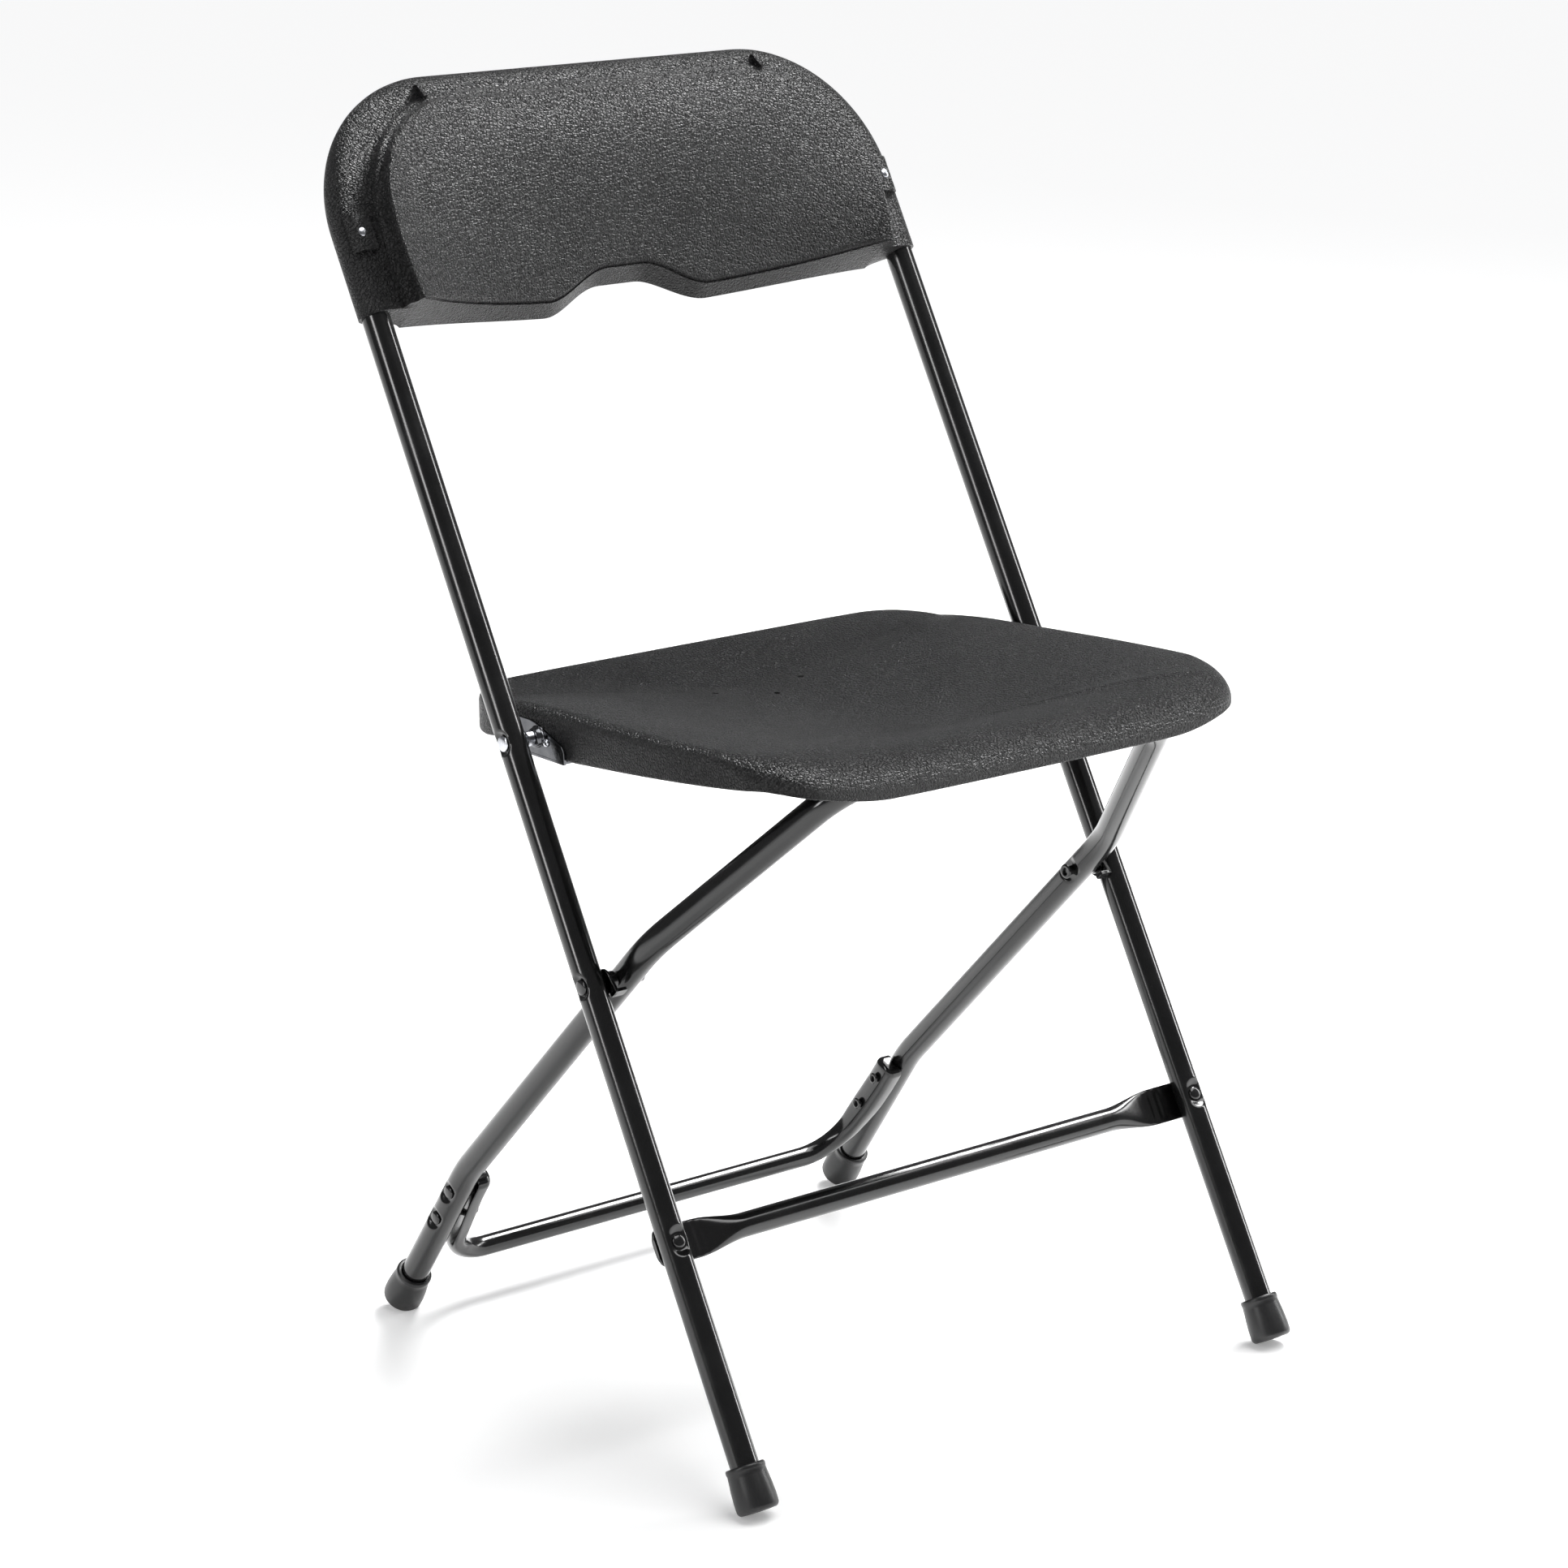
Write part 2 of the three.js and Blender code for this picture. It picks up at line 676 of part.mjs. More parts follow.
// Hinge plate: zinc-plated steel on the seat's side, raised round the pivot, lip turned under.
const PLATE_IN = 190.6;
const PLATE_THICK = 1.9;
const PLATE_OUTLINE = [
  [41, 6],
  [37, 9.4],
  [8, 9.4],
  [3, 8.6],
  [-24.6, -1.3],
  [-27, -4.4],
  [-27.6, -12.6],
  [43, -12.6],
];
for (const [word, side] of SIDES) {
  const corner = ([y, z], x) => V(side * x, SEAT_PIVOT.y + y, SEAT_PIVOT.z + z);
  const face = (x) => PLATE_OUTLINE.map((yz) => corner(yz, x));
  const plate = loft([face(PLATE_IN), face(PLATE_IN + PLATE_THICK)]);
  const lip = slab(
    corner([-25, -12.6], 172),
    V(side * (PLATE_IN + PLATE_THICK - 172), 0, 0),
    V(0, 64, 0),
    V(0, 0, PLATE_THICK),
  );
  const boss = turned(V(0, SEAT_PIVOT.y, SEAT_PIVOT.z), X(side), [
    [PLATE_IN, 6.7],
    [PLATE_IN + PLATE_THICK, 6.7],
    [PLATE_IN + 5.6, 5.6],
    [PLATE_IN + 6.2, 5],
  ]);
  const holes = turned(V(0, SEAT_PIVOT.y, SEAT_PIVOT.z), X(side), [
    [150, 3.4],
    [210, 3.4],
  ]).add(
    turned(V(0, SEAT_RIVET.y, SEAT_RIVET.z), X(side), [
      [150, 1.8],
      [210, 1.8],
    ]),
  );
  add(`seat_hinge_plate_${word}`, plate.add(lip).add(boss).subtract(holes), ZINC);
  add(
    `hinge_plate_rivet_${word}`,
    rivet(V(0, SEAT_RIVET.y, SEAT_RIVET.z), X(side), {
      seat: PLATE_IN + PLATE_THICK + GAP,
      grip: 9,
      headR: 2.6,
      shankR: 1.5,
      tailR: 2.6,
    }),
    ZINC,
  );
  const bushStart = PLATE_IN + 6.2 + GAP;
  const bush = turned(V(0, SEAT_PIVOT.y, SEAT_PIVOT.z), X(side), [
    [bushStart, 4.8],
    [frontX(SEAT_S) - TUBE_R - GAP, 4.8],
  ]).subtract(
    turned(V(0, SEAT_PIVOT.y, SEAT_PIVOT.z), X(side), [
      [bushStart - 2, 3.3],
      [FRONT_X, 3.3],
    ]),
  );
  add(`seat_pivot_washer_${word}`, bush, ZINC);
  add(
    `seat_pivot_rivet_${word}`,
    rivet(V(side * frontX(SEAT_S), SEAT_PIVOT.y, SEAT_PIVOT.z), X(side), {
      seat: 6.6,
      grip: 35,
      headR: 5.1,
      shankR: 3,
      tailR: 4.8,
    }),
    ZINC,
  );
}

// ---------------------------------------------------------------- backrest
// The lower edge: straight at both ends, arched in the middle for a hand.
function lowerEdge(x) {
  return BACK_BOTTOM + 18 * (1 - smooth(Math.abs(x), 14, 66));
}

// Front of the padded panel, forward of the tube's plane: scooped deepest at the lower middle.
function panelFront(x, s) {
  const rise = THREE.MathUtils.clamp((s - BACK_BOTTOM) / 128, 0, 1);
  const middle = lerp(-29, 16, smooth(rise, -0.25, 0.95));
  const edge = lerp(28.5, 26.5, rise);
  return lerp(middle, edge, Math.min(1, Math.abs(x) / 192) ** 2.4);
}

// Back of the moulding: bulges behind the tube, most at the lower middle.
function panelBack(x, s) {
  const rise = THREE.MathUtils.clamp((s - BACK_BOTTOM) / 150, 0, 1);
  const u = Math.min(1, Math.abs(x) / 205);
  return -BACK_RIM - lerp(22.5, 4, smooth(rise, 0, 1)) * (1 - smooth(u, 0.12, 1));
}

// Outline stations: up the right side, across the top, down the left side, back along the bottom.
function backOutline() {
  const stations = [];
  const put = (x, s, nx, ns) => stations.push({ x, s, nx, ns, bottom: false });
  const rise = [0, 0.5, 1];
  const lowC = BACK_TOP - BACK_CORNER_R;
  const inC = BACK_HALF - BACK_CORNER_R;
  rise.forEach((f) => put(-BACK_HALF, lerp(BACK_BOTTOM + 5, lowC, f), 1, 0));
  for (let k = 1; k <= 7; k += 1) {
    const a = (Math.PI / 2) * (k / 7);
    const [c, d] = [Math.cos(a), Math.sin(a)];
    put(-inC - BACK_CORNER_R * c, lowC + BACK_CORNER_R * d, c, -d);
  }
  [0.66, 0.33].forEach((f) => put(-inC * f, BACK_TOP, 0, -1));
  const half = stations.length;
  put(0, BACK_TOP, 0, -1);
  for (let k = half - 1; k >= 0; k -= 1) {
    const { x, s, nx, ns } = stations[k];
    put(-x, s, -nx, ns);
  }
  const steps = [186, 160, 128, 96, 66, 53, 40, 27, 14];
  for (const x of [...steps, 0, ...steps.map((v) => -v).reverse()]) {
    stations.push({ x, s: lowerEdge(x), nx: 0, ns: 1, bottom: true });
  }
  return stations;
}

// The moulding's skin, drawn in from the outside by a wall thickness.
function backSkin(wall) {
  const stations = backOutline();
  const rimN = BACK_RIM - wall;
  const rim = [
    [0, 3.1],
    [3.1, 8.2],
    [8.3, BACK_RIM],
    [29, BACK_RIM],
    [31.8, 14.5],
    [32.6, 22],
    [36.5, null],
  ];
  const shrink = rimN / BACK_RIM;
  const insetAt = (d) => wall + d * (d < 20 ? shrink : 1);
  const ring = (d, depth, order) =>
    stations.map((st) => {
      const inset = insetAt(d);
      if (!st.bottom) {
        const x = st.x + st.nx * inset;
        const s = Math.max(st.s, BACK_BOTTOM + 5 + wall) + st.ns * inset;
        return onFront(x, s, depth(x, s, false));
      }
      const x = THREE.MathUtils.clamp(st.x, inset - BACK_HALF, BACK_HALF - inset);
      const s = st.s + wall + 7 * order;
      const front = panelFront(x, s) - wall;
      const back = panelBack(x, s) + wall;
      return onFront(x, s, lerp(back, front, order));
    });
  const frontRings = rim.map(([d, n], k) =>
    ring(
      d,
      (x, s) => {
        const face = panelFront(x, s) - wall;
        if (n === null) return face;
        if (n > 13) return lerp(rimN, face, (n - BACK_RIM) / 14.5);
        return n * shrink;
      },
      0.5 + 0.5 * (k / (rim.length - 1)),
    ));
  const backRings = rim.slice(0, 4).map(([d, n], k) =>
    ring(
      d,
      (x, s) => (d > 20 ? panelBack(x, s) + wall : -n * shrink),
      0.5 - 0.5 * (k / 3),
    ));
  const middle = 846;
  const fill = (edgeRing, d, surface) =>
    [0.1, 0.24, 0.4, 0.58, 0.78].map((t) =>
      stations.map((st, i) => {
        const inset = insetAt(d);
        const x0 = st.bottom
          ? THREE.MathUtils.clamp(st.x, inset - BACK_HALF, BACK_HALF - inset)
          : st.x + st.nx * inset;
        const s0 = st.bottom
          ? st.s + wall
          : Math.max(st.s, BACK_BOTTOM + 5 + wall) + st.ns * inset;
        const x = lerp(x0, 0, t);
        const s = lerp(s0, middle, t);
        return onFront(x, s, surface(x, s));
      }));
  const frontFill = fill(frontRings.at(-1), 36.5, (x, s) => panelFront(x, s) - wall);
  const backFill = fill(backRings.at(-1), 29, (x, s) => panelBack(x, s) + wall);
  return [
    ...frontFill.reverse(),
    ...frontRings.reverse(),
    ...backRings,
    ...backFill,
  ];
}
const backOuter = loft(backSkin(0));
const backInner = loft(backSkin(BACK_WALL));
let backrest = backOuter.subtract(backInner);
for (const [, side] of SIDES) {
  backrest = backrest.subtract(
    turned(onFront(side * frontX(BACK_BOTTOM), BACK_BOTTOM - 10, 0), UP_FRONT, [
      [0, TUBE_R + 0.7],
      [24, TUBE_R + 0.7],
    ]),
  );
  const pad = slab(
    onFront(side * (SCREW_X - 7.5), SCREW_S - 12, 9.7),
    V(side * 11, 0, 0),
    UP_FRONT.clone().multiplyScalar(24),
    OUT_FRONT.clone().multiplyScalar(4.3),
  );
  const bore = turned(onFront(side * SCREW_X, SCREW_S, 5), OUT_FRONT, [
    [0, 2.4],
    [20, 2.4],
  ]);
  backrest = backrest.add(pad).subtract(bore);
}
add('backrest_shell', backrest, SEAT_BLACK);

for (const [word, side] of SIDES) {
  const screw = turned(onFront(side * SCREW_X, SCREW_S, 0), OUT_FRONT, [
    [0, 0.9],
    [2, 2],
    [14.3, 2],
    [14.3, 4.2],
    [15.4, 4],
    [16.4, 2.6],
  ]);
  add(`backrest_screw_${word}`, screw, ZINC);
}

const group = new THREE.Group();
group.name = 'folding_chair';
group.add(...nodes);

export default group;
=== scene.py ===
"""Folding chair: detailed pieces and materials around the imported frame.

The frame is in metres. Lengths here are in millimetres and are scaled when a mesh is made.
"left" and "right" are the sitter's: left is +X, and the sitter faces -Y.
"""

import math

import bmesh
import bpy
import numpy as np
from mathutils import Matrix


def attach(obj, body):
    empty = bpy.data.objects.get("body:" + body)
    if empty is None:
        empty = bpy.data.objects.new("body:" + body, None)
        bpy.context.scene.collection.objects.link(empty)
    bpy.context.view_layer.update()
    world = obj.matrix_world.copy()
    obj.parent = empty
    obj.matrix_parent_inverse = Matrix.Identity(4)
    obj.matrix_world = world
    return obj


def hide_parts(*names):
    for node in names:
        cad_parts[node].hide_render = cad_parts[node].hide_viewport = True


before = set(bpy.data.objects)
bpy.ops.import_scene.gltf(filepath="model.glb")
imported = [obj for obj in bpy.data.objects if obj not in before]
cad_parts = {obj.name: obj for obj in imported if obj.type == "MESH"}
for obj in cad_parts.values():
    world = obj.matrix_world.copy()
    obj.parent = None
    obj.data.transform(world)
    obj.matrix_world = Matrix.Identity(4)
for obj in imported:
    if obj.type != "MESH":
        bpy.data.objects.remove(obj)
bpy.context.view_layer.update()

# ------------------------------------------------------------------ the chair's dimensions, mm
MM = 0.001
GAP = 0.3  # clearance between neighbouring pieces
TUBE_R = 9.0  # frame tube, outside radius

FRONT_X = 212.5  # half spacing of the front legs at the floor, centre to centre
FRONT_TAPER = 0.0025  # the legs close in by this much per unit length
FRONT_FOOT_Y = -230.81  # start of the front tube's axis
BASE_Z = -3.0  # its height: the axis starts just under the floor
FOOT_S = 14.0  # front tube's lower end, along the leg
FOOT_D = 11.5  # rear tube's lower end, short of the floor along the leg
FRONT_LEAN = math.radians(29.86)  # front frame's lean from vertical
FRONT_TOP = 915.8  # length along the leg to the top bar's axis
FRONT_CORNER_R = 86.2

REAR_X = 185.4  # half spacing of the rear legs at the crossing
REAR_FOOT_X = 187.3
REAR_ANGLE = math.radians(44.6)  # upper rear leg's lean from vertical
REAR_FOOT_ANGLE = math.radians(34.96)  # lower rear leg's lean from vertical
REAR_BEND = 243.0  # crossing to the lower bend, along the leg
REAR_TOE_IN = 37.0  # crossing to the start of the inward taper
REAR_TAPER = 0.371  # inward taper per unit length
CROSSBAR_REACH = 200.9  # crossing to the crossbar, in the leg's plane

CROSS_S = 338.2  # leg crossing pivot, along the front leg
SEAT_S = 494.5  # seat pivot, along the front leg
STRETCHER_S = 175.5  # front stretcher, along the front leg
STRETCHER_N = -12.9  # front stretcher's axis behind the front legs

BACK_BOTTOM = 768.6  # backrest, along the front leg
BACK_TOP = 927.1
BACK_HALF = 221.5
BACK_CORNER_R = 97.5
BACK_RIM = 11.3  # half depth of the rim that wraps the tube
SCREW_X = 209.8
SCREW_S = 824.6

SEAT_RIM_Y = FRONT_FOOT_Y + 215.8  # offset of the seat's outline from the origin
SEAT_WALL = 3.4
SIDES = (("left", 1.0), ("right", -1.0))


def vec(x, y, z):
    return np.array([x, y, z], float)


X_AXIS = vec(1, 0, 0)
UP_FRONT = vec(0, math.sin(FRONT_LEAN), math.cos(FRONT_LEAN))
OUT_FRONT = vec(0, -math.cos(FRONT_LEAN), math.sin(FRONT_LEAN))
UP_REAR = vec(0, -math.sin(REAR_ANGLE), math.cos(REAR_ANGLE))
BEHIND_REAR = vec(0, math.cos(REAR_ANGLE), math.sin(REAR_ANGLE))
DOWN_FOOT = vec(0, math.sin(REAR_FOOT_ANGLE), -math.cos(REAR_FOOT_ANGLE))


def front_x(s):
    return FRONT_X - FRONT_TAPER * s


def on_front(x, s, n):
    """A point of the front frame: across, along the leg, forward of its plane."""
    return vec(x, FRONT_FOOT_Y, BASE_Z) + s * UP_FRONT + n * OUT_FRONT


CROSS = on_front(0, CROSS_S, 0)
SEAT_PIVOT = on_front(0, SEAT_S, 0)


def on_rear(x, r):
    """A point of the rear frame's upper plane: across, and up the leg from the crossing."""
    return vec(x, CROSS[1], CROSS[2]) + r * UP_REAR


KNEE = on_rear(0, -REAR_BEND)
REAR_FOOT_LENGTH = KNEE[2] / math.cos(REAR_FOOT_ANGLE)
REAR_END = REAR_FOOT_LENGTH - FOOT_D


def on_foot(x, d):
    """A point of the lower rear leg: across, and down the leg from the bend."""
    return vec(x, KNEE[1], KNEE[2]) + d * DOWN_FOOT


def smooth(v, lo=0.0, hi=1.0):
    """Eased step from 0 at lo to 1 at hi."""
    t = np.clip((np.asarray(v, float) - lo) / (hi - lo), 0, 1)
    return t * t * (3 - 2 * t)


def lerp(a, b, t):
    return a + (b - a) * t


# ------------------------------------------------------------------ mesh building
def unit(v):
    return v / np.linalg.norm(v)


class Path:
    """Straight runs joined by arcs; at(u) gives the point and tangent at arc length u."""

    def __init__(self, points, radii):
        self.parts = []
        self.length = 0.0
        here = points[0]
        for i in range(1, len(points) - 1):
            into = unit(points[i] - points[i - 1])
            out = unit(points[i + 1] - points[i])
            turn = math.acos(np.clip(into @ out, -1, 1))
            reach = radii[i] * math.tan(turn / 2)
            start = points[i] - into * reach
            self._line(here, start)
            side = unit(out - into * math.cos(turn))
            self.parts.append((self.length, radii[i] * turn, "arc", start, into, side, radii[i]))
            self.length += radii[i] * turn
            here = points[i] + out * reach
        self._line(here, points[-1])

    def _line(self, a, b):
        run = np.linalg.norm(b - a)
        if run > 1e-6:
            self.parts.append((self.length, run, "line", a, unit(b - a), None, 0.0))
            self.length += run

    def at(self, u):
        reached = [part for part in self.parts if u <= part[0] + part[1] + 1e-6]
        begin, _, kind, p, t, side, radius = (reached or self.parts[-1:])[0]
        w = u - begin
        if kind == "line":
            return p + t * w, t
        a = w / radius
        point = p + t * radius * math.sin(a) + side * radius * (1 - math.cos(a))
        return point, t * math.cos(a) + side * math.sin(a)

    def stations(self, step, fine=(), reach=11.0, fine_step=0.9):
        """Arc lengths along the path, closer together near the points listed in fine."""
        probe = np.linspace(0, self.length, 2400)
        points = np.array([self.at(u)[0] for u in probe])
        us = list(np.linspace(0, self.length, int(self.length / step) + 2))
        for spot in fine:
            u0 = probe[np.argmin(np.linalg.norm(points - spot, axis=1))]
            us = [u for u in us if abs(u - u0) > reach]
            us += list(np.arange(u0 - reach, u0 + reach + 0.01, fine_step))
        return np.array(sorted(u for u in us if 0 <= u <= self.length))


def sweep(path, us, up, section, sides):
    """Loops of a section carried along a path. section(u, angles) gives its two coordinates."""
    angles = np.linspace(0, 2 * math.pi, sides, endpoint=False)
    loops = []
    for u in us:
        p, t = path.at(u)
        up = unit(up - t * (up @ t))
        side = np.cross(t, up)
        a, b = section(u, angles)
        loops.append(p + np.outer(a, up) + np.outer(b, side))
    return np.array(loops)


def round_section(r):
    return lambda u, angles: (r * np.cos(angles), r * np.sin(angles))


def squashed(r, wide, thin, amount, angles):
    """Section of a tube pressed flat by an amount from 0 to 1."""
    power = lerp(1.0, 0.5, amount)
    c, s = np.cos(angles), np.sin(angles)
    return (
        lerp(r, wide, amount) * np.sign(c) * np.abs(c) ** power,
        lerp(r, thin, amount) * np.sign(s) * np.abs(s) ** power,
    )


def press(v, at, out, flat, inner, outer):
    """Presses a dimple with a flat floor into a skin, around a rivet."""
    rel = v - at
    h = rel @ out
    rad = np.linalg.norm(rel - np.outer(h, out).reshape(rel.shape), axis=-1)
    w = smooth(rad, inner, outer)
    low = np.minimum(h, flat)
    near = (h > 0) & (h < 2 * TUBE_R) & (rad < outer)
    moved = np.where(near, low * (1 - w) + h * w, h)
    return v + (moved - h)[..., None] * out


def grid(loops, caps=True):
    """Vertices and faces through loops of equal length; the ends are capped unless left open."""
    rings, n = loops.shape[:2]
    verts = loops.reshape(-1, 3)
    faces = []
    for k in range(rings - 1):
        a, b = k * n, (k + 1) * n
        faces += [(a + i, a + (i + 1) % n, b + (i + 1) % n, b + i) for i in range(n)]
    if caps:
        faces.append(tuple(reversed(range(n))))
        faces.append(tuple(range((rings - 1) * n, rings * n)))
    return verts, faces


def turned(origin, axis, profile, sides=40):
    """Lathe-turned skin on an axis; profile is (distance, radius) pairs."""
    up = vec(0, 0, 1) if abs(axis[0]) > 0.5 else X_AXIS
    u = unit(up - axis * (up @ axis))
    v = np.cross(axis, u)
    a = np.linspace(0, 2 * math.pi, sides, endpoint=False)
    ring = np.outer(np.cos(a), u) + np.outer(np.sin(a), v)
    return grid(np.array([origin + axis * d + ring * r for d, r in profile]))


def prism(outline, depth):
    """Straight extrusion of a closed outline by a vector."""
    outline = np.array(outline)
    return grid(np.array([outline, outline + depth]))


def rounded(corners, radius, steps=5):
    """Plane polygon with each corner rounded."""
    out = []
    n = len(corners)
    for i, p in enumerate(corners):
        p = np.array(p, float)
        before = unit(np.array(corners[i - 1], float) - p)
        after = unit(np.array(corners[(i + 1) % n], float) - p)
        half = math.acos(np.clip(before @ after, -1, 1)) / 2
        cut = min(radius / math.tan(half), 4 * radius)
        a, b = p + before * cut, p + after * cut
        for t in np.linspace(0, 1, steps):
            out.append((1 - t) ** 2 * a + 2 * t * (1 - t) * p + t * t * b)
    return out


def piece(name, parts, body, material, replaces, sharp=38.0, bevel=0.0):
    """One visible object from one or more skins, riding a body and standing for CAD nodes."""
    verts, faces = [], []
    for v, f in parts:
        base = len(verts)
        verts += (np.asarray(v) * MM).tolist()
        faces += [tuple(base + i for i in face) for face in f]
    mesh = bpy.data.meshes.new(name)
    mesh.from_pydata(verts, [], faces)
    bm = bmesh.new()
    bm.from_mesh(mesh)
    bmesh.ops.remove_doubles(bm, verts=bm.verts, dist=1e-5)
    bmesh.ops.dissolve_degenerate(bm, edges=bm.edges, dist=1e-6)
    bmesh.ops.recalc_face_normals(bm, faces=bm.faces)
    bm.to_mesh(mesh)
    bm.free()
    mesh.shade_smooth()
    mesh.set_sharp_from_angle(angle=math.radians(sharp))
    mesh.materials.append(material)
    obj = bpy.data.objects.new(name, mesh)
    bpy.context.scene.collection.objects.link(obj)
    if bevel:
        edge = obj.modifiers.new("bevel", "BEVEL")
        edge.width = bevel * MM
        edge.segments = 3
        edge.limit_method = "ANGLE"
        edge.angle_limit = math.radians(35)
        edge.harden_normals = True
    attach(obj, body)
    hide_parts(*replaces)
    return obj


# ------------------------------------------------------------------ materials
class Nodes:
    """Short names for building a node tree."""

    def __init__(self, name):
        self.material = bpy.data.materials.new(name)
        self.material.use_nodes = True
        self.tree = self.material.node_tree
        self.shader = self.tree.nodes["Principled BSDF"]
        self.place = self.tree.nodes.new("ShaderNodeTexCoord").outputs["Object"]

    def add(self, kind, inputs=(), **settings):
        node = self.tree.nodes.new(kind)
        for key, value in settings.items():
            setattr(node, key, value)
        for key, value in dict(inputs).items():
            if hasattr(value, "is_output"):
                self.tree.links.new(value, node.inputs[key])
            else:
                node.inputs[key].default_value = value
        return node

    def noise(self, scale, detail=3.0, rough=0.5, place=None):
        node = self.add(
            "ShaderNodeTexNoise",
            {"Vector": place or self.place, "Scale": scale, "Detail": detail, "Roughness": rough},
        )
        return node.outputs["Fac"]

    def span(self, value, lo, hi, out_lo, out_hi):
        node = self.add(
            "ShaderNodeMapRange",
            {"Value": value, 1: lo, 2: hi, 3: out_lo, 4: out_hi},
        )
        return node.outputs[0]

    def math(self, op, a, b):
        return self.add("ShaderNodeMath", {0: a, 1: b}, operation=op).outputs[0]

    def mix(self, fac, a, b):
        node = self.add("ShaderNodeMix", {0: fac, 6: a, 7: b}, data_type="RGBA")
        return node.outputs[2]

    def bump(self, height, strength, distance, normal=None):
        inputs = {"Height": height, "Strength": strength, "Distance": distance}
        if normal is not None:
            inputs["Normal"] = normal
        return self.add("ShaderNodeBump", inputs).outputs["Normal"]

    def set(self, **sockets):
        for key, value in sockets.items():
            socket = self.shader.inputs[key.replace("_", " ")]
            if hasattr(value, "is_output"):
                self.tree.links.new(value, socket)
            else:
                socket.default_value = value
        return self.material


def rgb(r, g, b):
    return (r, g, b, 1.0)


def frame_paint(name, tone):
    """Semi-gloss black paint on steel: orange peel, faint dust and rubbed patches."""
    m = Nodes(name)
    peel = m.noise(520, 2.0, 0.4)
    haze = m.noise(34, 4.0, 0.62)
    specks = m.span(m.noise(1500, 1.0, 0.5), 0.76, 0.84, 0.0, 1.0)
    rough = m.math("ADD", m.span(haze, 0.3, 0.75, 0.14, 0.24), m.math("MULTIPLY", specks, 0.2))
    low, high = rgb(*(tone * c for c in (1, 1, 1.02))), rgb(*(1.7 * tone * c for c in (1, 1, 1.03)))
    colour = m.mix(m.span(haze, 0.35, 0.75, 0.0, 1.0), low, high)
    colour = m.mix(m.math("MULTIPLY", specks, 0.5), colour, rgb(0.04, 0.04, 0.042))
    normal = m.bump(peel, 0.06, 0.0003)
    normal = m.bump(m.noise(95, 2.0, 0.5), 0.03, 0.001, normal)
    return m.set(
        Base_Color=colour,
        Roughness=rough,
        Normal=normal,
        Specular_IOR_Level=0.5,
        Coat_Weight=0.35,
        Coat_Roughness=0.12,
    )


def grained_plastic(name, tone, grain, strength):
    """Black moulded plastic with a fine leather grain."""
    m = Nodes(name)
    warp = m.add("ShaderNodeTexNoise", {"Vector": m.place, "Scale": 260.0, "Detail": 2.0})
    bent = m.add(
        "ShaderNodeMix", {0: 0.0022, 4: m.place, 5: warp.outputs["Color"]}, data_type="VECTOR"
    ).outputs[1]
    cells = m.add(
        "ShaderNodeTexVoronoi", {"Vector": bent, "Scale": grain, "Randomness": 1.0},
        feature="DISTANCE_TO_EDGE",
    ).outputs["Distance"]
    creases = m.span(cells, 0.0, 0.2, 0.0, 1.0)
    fine = m.noise(grain * 2.4, 3.0, 0.6, bent)
    height = m.math("ADD", m.math("MULTIPLY", creases, 0.6), m.math("MULTIPLY", fine, 0.7))
    haze = m.noise(16, 4.0, 0.6)
    # painted shade: the colour is darker in the grain's creases and paler on the cells between them,
    # standing in for shade in the grooves
    colour = m.mix(
        m.span(creases, 0.0, 1.0, 0.0, 1.0),
        rgb(0.4 * tone, 0.4 * tone, 0.42 * tone),
        rgb(1.3 * tone, 1.3 * tone, 1.36 * tone),
    )
    paler = rgb(1.6 * tone, 1.6 * tone, 1.7 * tone)
    colour = m.mix(m.span(haze, 0.4, 0.8, 0.0, 0.25), colour, paler)
    rough = m.math(
        "ADD", m.span(haze, 0.3, 0.8, 0.31, 0.4), m.span(fine, 0.3, 0.7, 0.05, -0.03)
    )
    normal = m.bump(height, strength, 0.002)
    return m.set(Base_Color=colour, Roughness=rough, Normal=normal, Specular_IOR_Level=0.36)


def zinc_plate(name, tone, rough_lo, rough_hi):
    """Bright zinc on steel: rolling marks, clouding and darker stains."""
    m = Nodes(name)
    stretched = m.add(
        "ShaderNodeMapping", {"Vector": m.place, "Scale": (1.0, 0.08, 1.0)}
    ).outputs["Vector"]
    marks = m.noise(900, 2.0, 0.6, stretched)
    cloud = m.noise(140, 4.0, 0.65)
    dull = rgb(0.8 * tone, 0.82 * tone, 0.88 * tone)
    bright = rgb(1.15 * tone, 1.17 * tone, 1.22 * tone)
    colour = m.mix(m.span(cloud, 0.35, 0.7, 0.0, 1.0), dull, bright)
    clouded = m.span(cloud, 0.3, 0.7, rough_lo, rough_hi)
    rough = m.math("ADD", clouded, m.span(marks, 0, 1, -0.04, 0.06))
    normal = m.bump(marks, 0.12, 0.0002)
    normal = m.bump(m.noise(420, 2.0, 0.5), 0.1, 0.0004, normal)
    return m.set(Base_Color=colour, Roughness=rough, Metallic=1.0, Normal=normal)


def foot_plastic(name):
    """Matt black plastic caps, scuffed paler where they meet the floor."""
    m = Nodes(name)
    height = m.add("ShaderNodeSeparateXYZ", {0: m.place}).outputs["Z"]
    blotches = m.span(m.noise(260, 4.0, 0.7), 0.4, 0.7, 0, 1)
    scuff = m.math("MULTIPLY", m.span(height, 0.0, 0.012, 1.0, 0.0), blotches)
    fine = m.noise(1300, 3.0, 0.6)
    clean, scuffed = rgb(0.012, 0.012, 0.0125), rgb(0.06, 0.058, 0.055)
    colour = m.mix(m.math("MULTIPLY", scuff, 0.6), clean, scuffed)
    rough = m.math("ADD", m.span(fine, 0.3, 0.7, 0.3, 0.4), m.math("MULTIPLY", scuff, 0.25))
    return m.set(Base_Color=colour, Roughness=rough, Normal=m.bump(fine, 0.2, 0.0003))


